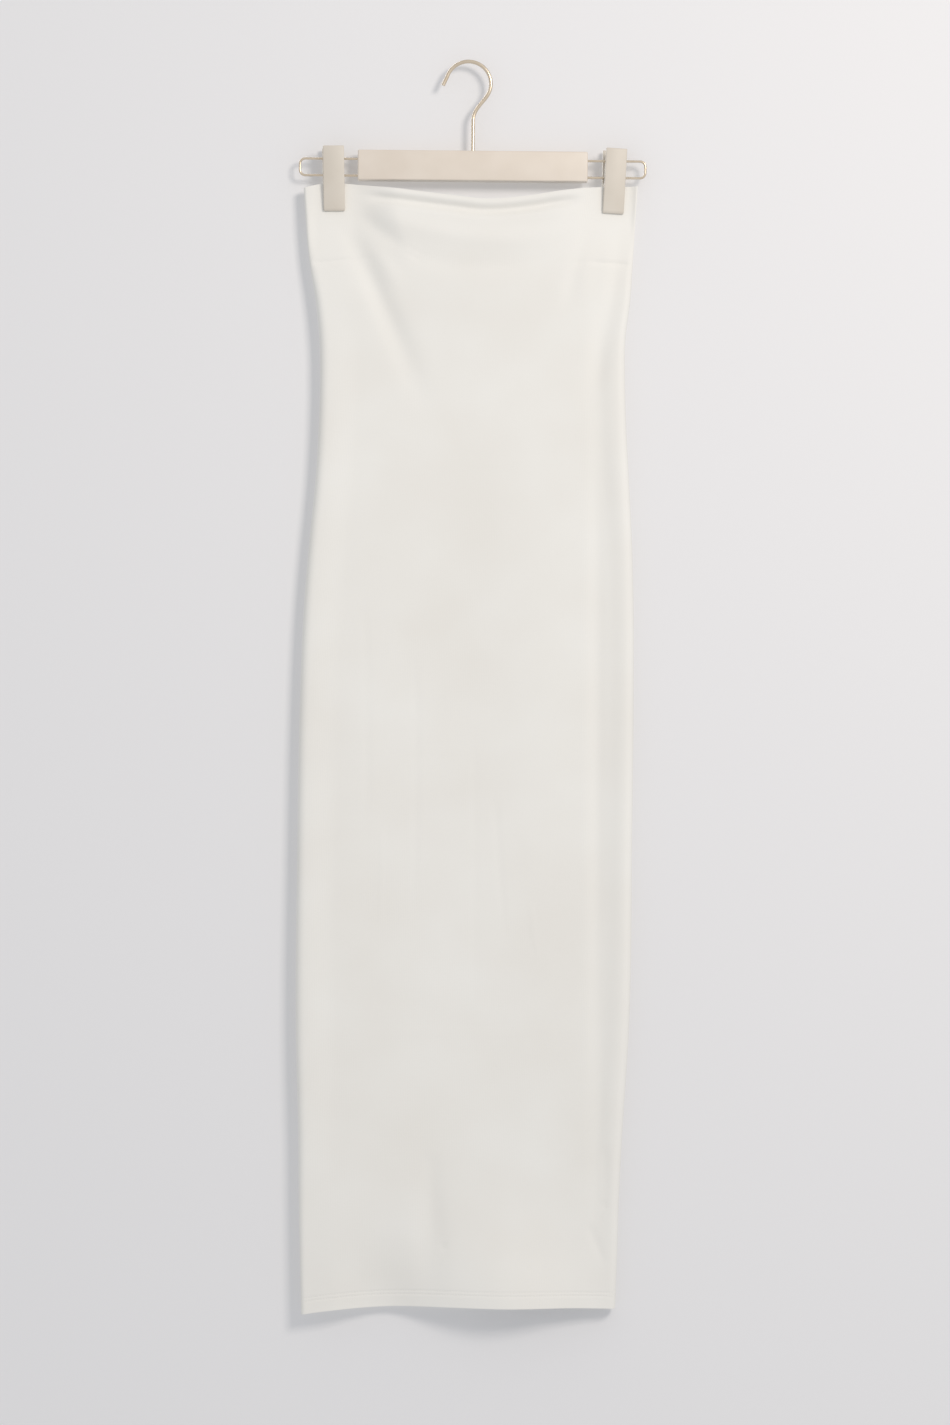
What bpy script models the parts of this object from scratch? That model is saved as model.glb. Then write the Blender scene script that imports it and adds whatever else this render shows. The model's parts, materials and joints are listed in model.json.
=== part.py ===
"""A strapless column dress of firm white double knit, hanging by two clips from a wire and bar hanger.

The dress is two panels, front and back, sewn at the sides. It hangs as a soft flat tube: its side
edges are rolled, the clips pinch it shut near each top corner, and the mouth between them sags.
Sizes are in millimetres, and MM turns them into metres where a mesh is made. +Z is up, the front
faces -Y, and the origin is the underside of the hook's crown, where a rail or nail carries it.
"""

import math
from collections import namedtuple

import bmesh
import bpy
import numpy as np

MM = 0.001
GAP = 0.3

# Cloth
WALL = 1.2
HEM_WALL = 2.2
HEM_DEPTH = 19.0
HEM_STEP = 2.0
PINCHED = WALL + GAP / 2
SEAM_STRIP = 1.0

# Hanger, drawn level. HANGER_ROLL then tips its right end down.
HANGER_ROLL = math.radians(0.55)
HANGER_CENTRE_X = 5.4
HOOK_WIRE = 3.9
HOOK_RADIUS = 23.3
HOOK_TIP_ANGLE = math.radians(160)
HOOK_TIP_DROP = 25.0
HOOK_TIP_FLARE = 4.6
STEM_TOP_Z = -60.0
NECK_PULL = 17.0
BAR_LENGTH = 239.0
BAR_HEIGHT = 31.5
BAR_DEPTH = 13.0
BAR_CENTRE_Z = -107.2
BAR_EDGE = 1.6
STEM_IN_BAR = 12.0
RAIL_WIRE = 2.5
RAIL_TOP_Z = -100.4
RAIL_LOW_Z = -117.8
RAIL_HALF_SPAN = 179.6
RAIL_CORNER = 5.5
RAIL_IN_BAR = 15.0
BORE_SPARE = 2.0

# Clips, each drawn round the rail's lower wire
CLIP_WIDTH = 22.0
CLIP_TOP = 29.5
CLIP_FOOT = -37.5
CLIP_EDGE = 0.7
JAW_PAD_TOP = -8.5
JAW_KNEE_Z = -4.5
JAW_SHOULDER_Z = 5.0
LEVER_INNER_Y = 7.6
LEVER_OUTER_Y = 11.0
JAW_BELLY_Y = 5.2
JAW_BELLY_RISE = 2.0
JAW_FOOT_Y = 4.2
KNUCKLE_REACH = 3.9
KNUCKLE_IN = 3.9
KNUCKLE_OUT = 9.5
KNUCKLE_ROOT = 1.5
PLATE_AT_KNUCKLE = 4.3
SPRING_WIRE = 1.1
SPRING_TURN_STEPS = 10
SPRING_TURNS = 3.5
SPRING_LEG = 9.0
SPRING_LEG_OUT = 1.2

Clip = namedtuple("Clip", "name x lean yaw")
CLIPS = (
    Clip("clip_left", -140.4, math.radians(-1.1), math.radians(5.0)),
    Clip("clip_right", 151.2, math.radians(2.4), math.radians(9.0)),
)

# The hanging tube at each height: side outlines, radius of each rolled side edge, how far front and
# back stand off the middle sheet, and how far each side seam lies behind (+) or before (-) it.
Level = namedtuple("Level", "z left right roll_left roll_right front back seam_left seam_right")
LEVELS = (
    Level(-120.0, -171.5, 176.5, 2.6, 2.6, 12.0, 6.0, 0.0, 0.0),
    Level(-142.0, -170.6, 175.2, 3.4, 3.4, 11.0, 6.5, 0.0, 0.0),
    Level(-168.0, -169.0, 173.4, 5.0, 5.0, 10.5, 7.0, 0.0, 0.0),
    Level(-206.0, -165.4, 171.0, 7.5, 7.0, 10.5, 7.5, 0.0, 0.0),
    Level(-246.0, -159.1, 168.4, 8.5, 7.5, 10.0, 7.5, 0.0, 0.0),
    Level(-288.0, -155.0, 163.2, 9.0, 8.0, 9.0, 7.5, 0.0, 0.0),
    Level(-330.0, -154.4, 162.8, 9.0, 8.5, 8.0, 7.0, 0.0, 0.0),
    Level(-371.0, -155.5, 163.8, 9.0, 8.5, 7.5, 7.0, 0.0, 0.0),
    Level(-433.0, -159.1, 166.9, 9.0, 9.0, 7.0, 7.0, 0.0, 0.0),
    Level(-496.0, -165.4, 170.0, 9.0, 9.0, 7.0, 7.0, 0.0, 0.0),
    Level(-558.0, -170.6, 171.6, 9.0, 9.0, 7.0, 7.0, 0.0, 0.0),
    Level(-683.0, -175.8, 171.6, 9.0, 9.0, 7.0, 7.0, -0.5, 0.0),
    Level(-808.0, -177.8, 170.2, 9.0, 9.0, 7.0, 7.0, -1.5, 0.0),
    Level(-1005.0, -179.4, 166.9, 9.0, 9.0, 7.0, 7.0, -2.5, 0.0),
    Level(-1120.0, -176.8, 159.6, 8.0, 8.5, 7.5, 7.0, -3.0, 1.0),
    Level(-1182.0, -176.4, 156.5, 7.0, 8.0, 8.0, 7.0, -3.5, 2.0),
    Level(-1245.0, -175.0, 154.6, 5.5, 7.0, 8.0, 7.0, -5.0, 3.5),
    Level(-1300.0, -173.6, 152.4, 4.5, 6.0, 8.0, 7.0, -6.0, 4.5),
)
ROLL_BLEND_LEFT = 33.0
ROLL_BLEND_RIGHT = 18.0

# Height of the top edge and of the hem across the width
EdgePoint = namedtuple("EdgePoint", "x front back")
TOP_EDGE = (
    EdgePoint(-172.0, -130.0, -130.0),
    EdgePoint(-152.0, -125.6, -125.6),
    EdgePoint(-128.0, -125.2, -125.2),
    EdgePoint(-112.0, -126.6, -126.4),
    EdgePoint(-71.0, -131.4, -130.8),
    EdgePoint(-19.0, -138.0, -137.0),
    EdgePoint(17.0, -141.8, -140.6),
    EdgePoint(64.0, -138.4, -137.4),
    EdgePoint(95.0, -133.6, -133.0),
    EdgePoint(126.0, -130.0, -129.8),
    EdgePoint(140.0, -129.0, -129.0),
    EdgePoint(163.0, -128.4, -128.4),
    EdgePoint(177.0, -128.0, -128.0),
)
HEM_EDGE = (
    EdgePoint(-174.0, -1299.6, -1299.6),
    EdgePoint(-156.0, -1296.8, -1297.4),
    EdgePoint(-136.0, -1294.7, -1296.0),
    EdgePoint(-84.0, -1292.8, -1293.4),
    EdgePoint(33.0, -1291.2, -1292.6),
    EdgePoint(95.0, -1292.2, -1292.8),
    EdgePoint(152.0, -1294.8, -1294.8),
)

# Broad swells and hollows: extra stand-off of each panel, and sway of both together (+ is back).
Swell = namedtuple("Swell", "name x z half_width half_height front back sway")
SWELLS = (
    Swell("hem_bulge", 44.0, -1305.0, 62.0, 78.0, 19.0, -0.5, -2.0),
    Swell("hem_left_hollow", -84.0, -1305.0, 42.0, 62.0, -5.0, -3.5, 10.0),
    Swell("low_left_shade", -40.0, -1215.0, 16.0, 60.0, -2.0, 0.0, 1.0),
    Swell("right_channel", 134.0, -760.0, 9.0, 420.0, -2.6, -1.2, 0.0),
    Swell("bust_fullness", 8.0, -215.0, 90.0, 60.0, 2.5, 1.0, 0.0),
    Swell("hip_fullness_left", -112.0, -720.0, 40.0, 240.0, 1.2, 0.8, 0.0),
    Swell("hip_fullness_right", 70.0, -700.0, 46.0, 260.0, 1.4, 1.0, 0.0),
    Swell("back_mid_hollow", -20.0, -520.0, 50.0, 220.0, -0.6, -1.6, 0.0),
    Swell("back_hem_flare", 60.0, -1305.0, 60.0, 90.0, 0.0, 3.0, 0.0),
)

# Largest folds, each a soft trough (lift below 0) or ridge along a curve start, bend, end.
Fold = namedtuple("Fold", "name panel start bend end width_start width_end lift")
FOLDS = (
    Fold("left_clip_trough", "front", (-138, -156), (-100, -215), (-35, -381), 13, 30, -4.2),
    Fold("left_clip_ridge", "front", (-120, -164), (-92, -200), (-66, -246), 14, 22, 2.4),
    Fold("left_neck_trough", "front", (-117, -155), (-92, -176), (-52, -203), 12, 18, -2.0),
    Fold("neck_smile", "front", (-120, -147), (15, -208), (126, -166), 22, 22, 2.2),
    Fold("neck_trough", "front", (-70, -196), (20, -226), (100, -196), 22, 22, -1.4),
    Fold("right_clip_trough", "front", (158, -160), (152, -260), (117, -385), 13, 26, -3.2),
    Fold("right_neck_trough", "front", (128, -170), (110, -206), (100, -268), 12, 20, -2.0),
    Fold("left_dart", "front", (-166, -209), (-134, -205), (-104, -203), 7, 6, -1.6),
    Fold("right_dart", "front", (172, -210), (145, -208), (116, -207), 7, 6, -1.6),
    Fold("back_left_clip_trough", "back", (-136, -158), (-104, -222), (-52, -352), 14, 28, -2.8),
    Fold("back_right_clip_trough", "back", (150, -160), (128, -230), (84, -366), 14, 28, -2.8),
    Fold("back_neck_smile", "back", (-112, -146), (10, -176), (126, -150), 20, 20, 1.6),
)
FOLD_STEPS = 60
FOLD_FADE_IN = 0.12
FOLD_FADE_OUT = 0.4

# The turned top edge leans back at its brim, and the cloth draws back just under it.
LIP_LEAN = 2.2
LIP_LEAN_HALF = 3.4
LIP_GROOVE_BELOW = 12.0
LIP_GROOVE_HALF = 5.6
LIP_GROOVE_DEPTH = 6.0
LIP_REACH_LEFT = -118.0
LIP_REACH_RIGHT = 128.0
LIP_FADE = 26.0

# How the clips pinch the tube: flat across the jaws, then opening beside and below them
PINCH_MARK = CLIP_WIDTH / 2 + 2.8
PINCH_HALF = CLIP_WIDTH / 2 + 5.6
PINCH_FADE_OUTER = 13.0
PINCH_FADE_INNER = 52.0
PINCH_SPREAD = 0.25
PINCH_FOOT_Z = -158.0
PINCH_DROP = 95.0

# Rows below the top edge, as bands from one distance to the next with a number of equal steps
Band = namedtuple("Band", "end steps")
DRESS_LENGTH = 1167.0
ROW_BANDS = (
    Band(24.0, 8),
    Band(76.0, 4),
    Band(86.0, 2),
    Band(400.0, 12),
    Band(1050.0, 10),
    Band(DRESS_LENGTH - HEM_DEPTH - HEM_STEP, 4),
    Band(DRESS_LENGTH - HEM_DEPTH, 1),
    Band(DRESS_LENGTH, 2),
)
SEAM_COLUMNS = ("seam_line", "seam_strip")
ROLL_STEPS = 3
FRONT_MIDDLE_COLUMNS = 26
BACK_MIDDLE_COLUMNS = 13
EDGE_FADE = 9.0
SWAY_FADE = 27.0


def smoothstep(t):
    """A soft step from 0 to 1 as t goes from 0 to 1."""
    t = np.clip(t, 0.0, 1.0)
    return t * t * (3.0 - 2.0 * t)


def smooth_table(at, knots, values):
    """The value at each place on a smooth curve through a table's rows."""
    knots = np.array(knots, dtype=float)
    values = np.array(values, dtype=float)
    if knots[0] > knots[-1]:
        knots, values = knots[::-1], values[::-1]
    slopes = np.gradient(values, knots)
    at = np.clip(at, knots[0], knots[-1])
    row = np.clip(np.searchsorted(knots, at) - 1, 0, len(knots) - 2)
    span = knots[row + 1] - knots[row]
    t = (at - knots[row]) / span
    rise = (1 + 2 * t) * (1 - t) ** 2 * values[row] + t * t * (3 - 2 * t) * values[row + 1]
    turn = t * (1 - t) ** 2 * slopes[row] - t * t * (1 - t) * slopes[row + 1]
    return rise + turn * span


def level(z, field):
    """One column of LEVELS at height z."""
    return smooth_table(z, [row.z for row in LEVELS], [getattr(row, field) for row in LEVELS])


def edge_height(x, table, panel):
    """Height of the top edge or hem of one panel at x."""
    return smooth_table(x, [row.x for row in table], [getattr(row, panel) for row in table])


def fold_lift(x, z, fold):
    """Lift of one fold at each point: a soft bell across its curve, fading at both ends."""
    t = np.linspace(0.0, 1.0, FOLD_STEPS)
    lead, mid, tail = (1 - t) ** 2, 2 * t * (1 - t), t * t
    curve_x = lead * fold.start[0] + mid * fold.bend[0] + tail * fold.end[0]
    curve_z = lead * fold.start[1] + mid * fold.bend[1] + tail * fold.end[1]
    square = (x[..., None] - curve_x) ** 2 + (z[..., None] - curve_z) ** 2
    near = square.argmin(axis=-1)
    half = (fold.width_start + (fold.width_end - fold.width_start) * t[near]) / 2
    fade = smoothstep(t[near] / FOLD_FADE_IN) * smoothstep((1 - t[near]) / FOLD_FADE_OUT)
    return fold.lift * fade * np.exp(-square.min(axis=-1) / half**2)


def swell_weight(x, z, swell):
    """Weight of one swell at each point, 1 at its centre."""
    across = (x - swell.x) / swell.half_width
    along = (z - swell.z) / swell.half_height
    return np.exp(-across**2 - along**2)


def pinch_weight(x, z, clip):
    """1 between the jaws of a clip, falling to 0 beside and below it."""
    below = np.maximum(PINCH_FOOT_Z - z, 0.0)
    beside = np.abs(x - clip.x) - PINCH_HALF
    is_inner = (x - clip.x) * clip.x < 0
    fade = np.where(is_inner, PINCH_FADE_INNER, PINCH_FADE_OUTER) + PINCH_SPREAD * below
    return (1 - smoothstep(beside / fade)) * (1 - smoothstep(below / PINCH_DROP))


def lip_groove(x, below_edge):
    """How far the front draws back at its brim and under its top edge, between the clips."""
    inside = smoothstep((x - LIP_REACH_LEFT) / LIP_FADE) * smoothstep((LIP_REACH_RIGHT - x) / LIP_FADE)
    lean = LIP_LEAN * np.exp(-((below_edge / LIP_LEAN_HALF) ** 2))
    groove = LIP_GROOVE_DEPTH * np.exp(-(((below_edge - LIP_GROOVE_BELOW) / LIP_GROOVE_HALF) ** 2))
    return inside * (lean + groove)


def panel_columns(middle_columns):
    """Columns from the left seam to the right one, each a kind and a value.

    A left or right column has an angle round its rolled edge, or one of SEAM_COLUMNS on the seam
    strip. A middle column has its share of the way across, and some fall on both edges and the
    centre of each clip, so that the cloth between the jaws is flat.
    """
    seam_angles = list(SEAM_COLUMNS)
    roll_angles = [math.pi / 2 * step / ROLL_STEPS for step in range(1, ROLL_STEPS)]
    top_left = level(TOP_EDGE[0].front, "left") + level(TOP_EDGE[0].front, "roll_left")
    top_right = level(TOP_EDGE[0].front, "right") - level(TOP_EDGE[0].front, "roll_right")
    marks = [clip.x + step * PINCH_MARK for clip in CLIPS for step in (-1, 0, 1)]
    inner = np.linspace(marks[2], marks[3], middle_columns + 2)[1:-1]
    shares = (np.array(marks[:3] + list(inner) + marks[3:]) - top_left) / (top_right - top_left)
    columns = [("left", angle) for angle in seam_angles + roll_angles]
    columns += [("middle", share) for share in [0.0] + list(shares) + [1.0]]
    columns += [("right", angle) for angle in reversed(seam_angles + roll_angles)]
    return columns


def panel_rows():
    """Rows as shares of the way from the top edge to the hem."""
    rows, start = [0.0], 0.0
    for band in ROW_BANDS:
        steps = range(1, band.steps + 1)
        rows += [start + (band.end - start) * step / band.steps for step in steps]
        start = band.end
    return [row / DRESS_LENGTH for row in rows]


def column_place(column, z):
    """(x, stand-off) of a column at heights z, on the plain rolled tube with no fold."""
    kind, value = column
    left, right = level(z, "left"), level(z, "right")
    roll_left, roll_right = level(z, "roll_left"), level(z, "roll_right")
    if kind == "middle":
        start, end = left + roll_left, right - roll_right
        return start + value * (end - start), None
    roll = roll_left if kind == "left" else roll_right
    side, inward = (left, 1) if kind == "left" else (right, -1)
    if value in SEAM_COLUMNS:
        strip = SEAM_STRIP * SEAM_COLUMNS.index(value)
        return side + 0.0 * z, GAP / 2 + strip + 0.0 * z
    return side + inward * roll * (1 - math.cos(value)), GAP / 2 + SEAM_STRIP + roll * math.sin(value)


def middle_standoff(x, z, panel):
    """Stand-off of the middle of a panel, blended into the rolled edge at each side."""
    rest = level(z, panel)
    roll_left, roll_right = level(z, "roll_left"), level(z, "roll_right")
    from_left = (x - level(z, "left") - roll_left) / ROLL_BLEND_LEFT
    from_right = (level(z, "right") - roll_right - x) / ROLL_BLEND_RIGHT
    near_left, near_right = 1 - smoothstep(from_left), 1 - smoothstep(from_right)
    edge = GAP / 2 + SEAM_STRIP
    return rest + (edge + roll_left - rest) * near_left + (edge + roll_right - rest) * near_right


def panel_point(panel, column, share):
    """(x, y, z) of the outer face of a panel, for one column at an array of rows."""
    x_top = column_place(column, np.array([TOP_EDGE[0].front]))[0]
    x_hem = column_place(column, np.array([HEM_EDGE[-1].front]))[0]
    top = edge_height(x_top, TOP_EDGE, panel)
    hem = edge_height(x_hem, HEM_EDGE, panel)
    z = top + (hem - top) * share
    x, standoff = column_place(column, z)
    if standoff is None:
        standoff = middle_standoff(x, z, panel)

    from_side = np.minimum(x - level(z, "left"), level(z, "right") - x)
    free = smoothstep(from_side / EDGE_FADE)
    extra = np.zeros_like(x)
    for fold in FOLDS:
        if fold.panel == panel:
            extra += fold_lift(x, z, fold)
    width_share = (x - level(z, "left")) / (level(z, "right") - level(z, "left"))
    seam_left, seam_right = level(z, "seam_left"), level(z, "seam_right")
    middle = seam_left + (seam_right - seam_left) * smoothstep(width_share)
    for swell in SWELLS:
        weight = swell_weight(x, z, swell)
        extra += weight * getattr(swell, panel)
        middle += weight * swell.sway * smoothstep(from_side / SWAY_FADE)
    if panel == "front":
        extra -= lip_groove(x, top - z)
    standoff = standoff + free * extra

    for clip in CLIPS:
        weight = pinch_weight(x, z, clip)
        flat = PINCHED / math.cos(clip.yaw)
        standoff += (flat - standoff) * weight
        middle += (math.tan(clip.yaw) * (x - clip.x) - middle) * weight
    standoff = np.where(from_side > SEAM_STRIP, np.maximum(standoff, PINCHED), standoff)
    toward = -1 if panel == "front" else 1
    return np.stack([x, middle + toward * standoff, z], axis=-1)


def clear_scene():
    """Remove every object of the scene."""
    for item in list(bpy.data.objects):
        bpy.data.objects.remove(item, do_unlink=True)


def make_collection(name):
    """A new collection in the scene."""
    collection = bpy.data.collections.new(name)
    bpy.context.scene.collection.children.link(collection)
    return collection


def move_to(item, collection):
    """Put an object in one collection only."""
    for holder in list(item.users_collection):
        holder.objects.unlink(item)
    collection.objects.link(item)


def material(name, colour, roughness, metallic=0.0):
    """A Principled material from an sRGB hex colour."""
    made = bpy.data.materials.new(name)
    made.use_nodes = True
    shader = made.node_tree.nodes["Principled BSDF"]
    channels = [int(colour[place : place + 2], 16) / 255 for place in (0, 2, 4)]
    linear = [c / 12.92 if c <= 0.04045 else ((c + 0.055) / 1.055) ** 2.4 for c in channels]
    shader.inputs["Base Color"].default_value = (*linear, 1.0)
    shader.inputs["Roughness"].default_value = roughness
    shader.inputs["Metallic"].default_value = metallic
    made.diffuse_color = (*linear, 1.0)
    return made


def dress(item, finish):
    """Give an object its own material, smooth shaded with crisp edges kept."""
    item.data.materials.clear()
    item.data.materials.append(material(item.name, *finish))
    if item.type == "MESH":
        item.data.shade_smooth()
        item.data.set_sharp_from_angle(angle=math.radians(40))


def block(name, size, centre, collection):
    """A box of a size in millimetres, with its scale in its mesh."""
    bpy.ops.mesh.primitive_cube_add(size=1.0)
    item = bpy.context.object
    item.name = name
    for vertex in item.data.vertices:
        vertex.co = [(c * s + at) * MM for c, s, at in zip(vertex.co, size, centre)]
    move_to(item, collection)
    return item


def rod_cutter(name, radius, start, end, collection):
    """A round cutter from start to end, along X or Z."""
    length = math.dist(start, end)
    lies_flat = abs(start[0] - end[0]) > abs(start[2] - end[2])
    bpy.ops.mesh.primitive_cylinder_add(vertices=16, radius=radius * MM, depth=length * MM)
    item = bpy.context.object
    item.name = name
    item.rotation_euler = (0.0, math.pi / 2 if lies_flat else 0.0, 0.0)
    item.location = [(a + b) / 2 * MM for a, b in zip(start, end)]
    item.hide_render = True
    item.display_type = "WIRE"
    move_to(item, collection)
    return item


def wire(name, points, thickness, collection):
    """A round wire through points, with closed ends."""
    curve = bpy.data.curves.new(name, "CURVE")
    curve.dimensions = "3D"
    curve.bevel_depth = thickness / 2 * MM
    curve.bevel_resolution = 2
    curve.use_fill_caps = True
    spline = curve.splines.new("POLY")
    spline.points.add(len(points) - 1)
    for place, point in zip(spline.points, points):
        place.co = (*[value * MM for value in point], 1.0)
    item = bpy.data.objects.new(name, curve)
    collection.objects.link(item)
    return item


def bevel(item, width, segments):
    """Round an object's sharp edges."""
    modifier = item.modifiers.new("rounded_edges", "BEVEL")
    modifier.width = width * MM
    modifier.segments = segments
    modifier.limit_method = "ANGLE"
    modifier.angle_limit = math.radians(35)


def boolean(item, other, operation):
    """Cut another object from this one, or join it on."""
    modifier = item.modifiers.new(other.name, "BOOLEAN")
    modifier.operation = operation
    modifier.solver = "EXACT"
    modifier.object = other
    if operation == "UNION":
        other.hide_render = True
        other.display_type = "WIRE"


def make_panel(name, panel, middle_columns, finish, collection):
    """One cloth panel: a grid laid on the hanging tube's outer face, with its wall inside."""
    columns = panel_columns(middle_columns)
    rows = np.array(panel_rows())
    across_steps, down_steps = len(columns) - 1, len(rows) - 1
    bpy.ops.mesh.primitive_grid_add(x_subdivisions=across_steps, y_subdivisions=down_steps, size=2.0)
    item = bpy.context.object
    item.name = name
    item.data.name = name
    move_to(item, collection)
    sheet = np.array([panel_point(panel, column, rows) for column in columns])
    hem_rows = rows * DRESS_LENGTH > DRESS_LENGTH - HEM_DEPTH - HEM_STEP / 2
    group = item.vertex_groups.new(name="wall")
    across = 1 if panel == "front" else -1
    for vertex in item.data.vertices:
        column = round((across * vertex.co.x + 1) / 2 * across_steps)
        row = round((1 - vertex.co.y) / 2 * down_steps)
        vertex.co = sheet[column, row] * MM
        group.add([vertex.index], 1.0 if hem_rows[row] else WALL / HEM_WALL, "REPLACE")
    wall = item.modifiers.new("wall", "SOLIDIFY")
    wall.thickness = HEM_WALL * MM
    wall.offset = -1.0
    wall.vertex_group = group.name
    dress(item, finish)
    return item


def arc(centre, radius, start, end, steps):
    """Points round a centre in the XZ plane, between two angles."""
    angles = [start + (end - start) * step / steps for step in range(steps + 1)]
    return [(centre[0] + radius * math.cos(a), 0.0, centre[1] + radius * math.sin(a)) for a in angles]


def bezier(points, steps):
    """Points on a cubic curve, without its first one."""
    found = []
    for step in range(1, steps + 1):
        t = step / steps
        weights = ((1 - t) ** 3, 3 * t * (1 - t) ** 2, 3 * t * t * (1 - t), t**3)
        found.append(tuple(sum(w * p[axis] for w, p in zip(weights, points)) for axis in range(3)))
    return found


def make_hook(finish, collection):
    """The wire hook: a flared tip, a round crown, and a neck that swings in over the stem."""
    centre = (0.0, HOOK_WIRE / 2 - HOOK_RADIUS)
    crown = arc(centre, HOOK_RADIUS, HOOK_TIP_ANGLE, 0.0, 15)
    tip = (crown[0][0] - HOOK_TIP_FLARE, 0.0, HOOK_WIRE / 2 - HOOK_TIP_DROP)
    stem_top = (HANGER_CENTRE_X + HANGER_ROLL * STEM_TOP_Z, 0.0, STEM_TOP_Z)
    stem_foot_z = BAR_CENTRE_Z + BAR_HEIGHT / 2 - STEM_IN_BAR
    stem_foot = (HANGER_CENTRE_X + HANGER_ROLL * stem_foot_z, 0.0, stem_foot_z)
    side = crown[-1]
    below_side = (side[0], 0.0, side[2] - NECK_PULL)
    above_stem = (stem_top[0], 0.0, STEM_TOP_Z + NECK_PULL)
    neck = bezier((side, below_side, above_stem, stem_top), 9)
    item = wire("hanger_hook", [tip] + crown + neck + [stem_foot], HOOK_WIRE, collection)
    dress(item, finish)
    return item


def rail_points(side):
    """One clip rail, a loop of wire whose two ends go into the bar."""
    outer = HANGER_CENTRE_X + side * RAIL_HALF_SPAN
    inner = HANGER_CENTRE_X + side * (BAR_LENGTH / 2 - RAIL_IN_BAR)
    turn = outer - side * RAIL_CORNER
    out_angle = 0.0 if side > 0 else math.pi
    quarter = side * math.pi / 2
    top = arc((turn, RAIL_TOP_Z - RAIL_CORNER), RAIL_CORNER, out_angle + quarter, out_angle, 4)
    low = arc((turn, RAIL_LOW_Z + RAIL_CORNER), RAIL_CORNER, out_angle, out_angle - quarter, 4)
    return [(inner, 0.0, RAIL_TOP_Z)] + top + low + [(inner, 0.0, RAIL_LOW_Z)]


def make_rails(tilt, finish, collection):
    """Both clip rails."""
    for name, side in (("clip_rail_left", -1), ("clip_rail_right", 1)):
        item = wire(name, rail_points(side), RAIL_WIRE, collection)
        item.parent = tilt
        dress(item, finish)


def make_bar(tilt, finish, parts, cutters):
    """The moulded centre bar, bored for the stem and for the ends of both rails."""
    size = (BAR_LENGTH, BAR_DEPTH, BAR_HEIGHT)
    bar = block("hanger_bar", size, (HANGER_CENTRE_X, 0.0, BAR_CENTRE_Z), parts)
    bar.parent = tilt
    bevel(bar, BAR_EDGE, 3)
    for side in (-1, 1):
        for label, z in (("top", RAIL_TOP_Z), ("low", RAIL_LOW_Z)):
            end = HANGER_CENTRE_X + side * (BAR_LENGTH / 2 + BORE_SPARE)
            blind = HANGER_CENTRE_X + side * (BAR_LENGTH / 2 - RAIL_IN_BAR - GAP)
            name = f"bore_{label}_{'left' if side < 0 else 'right'}"
            cutter = rod_cutter(name, RAIL_WIRE / 2 + GAP, (blind, 0, z), (end, 0, z), cutters)
            cutter.parent = tilt
            boolean(bar, cutter, "DIFFERENCE")
    top = BAR_CENTRE_Z + BAR_HEIGHT / 2
    foot = (HANGER_CENTRE_X, 0, top - STEM_IN_BAR - GAP)
    mouth = (HANGER_CENTRE_X, 0, top + BORE_SPARE)
    cutter = rod_cutter("bore_stem", HOOK_WIRE / 2 + GAP, foot, mouth, cutters)
    cutter.parent = tilt
    boolean(bar, cutter, "DIFFERENCE")
    dress(bar, finish)


def jaw_profile(side):
    """Outline of a jaw in its own YZ plane: a straight outer face, a flat pad, a belly and a lever."""
    pad = PINCHED + GAP
    inner = [(pad, CLIP_FOOT), (pad, JAW_PAD_TOP)]
    inner += [(PLATE_AT_KNUCKLE, JAW_KNEE_Z), (PLATE_AT_KNUCKLE, JAW_SHOULDER_Z)]
    lever = [(LEVER_INNER_Y, CLIP_TOP), (LEVER_OUTER_Y, CLIP_TOP)]
    belly = [(JAW_BELLY_Y, CLIP_FOOT + JAW_BELLY_RISE), (JAW_FOOT_Y, CLIP_FOOT)]
    return [(side * y, z) for y, z in inner + lever + belly]


def clip_place(clip):
    """Where a clip sits along the level hanger, so that it hangs at its own x once that is tipped."""
    return clip.x - HANGER_ROLL * RAIL_LOW_Z


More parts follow.
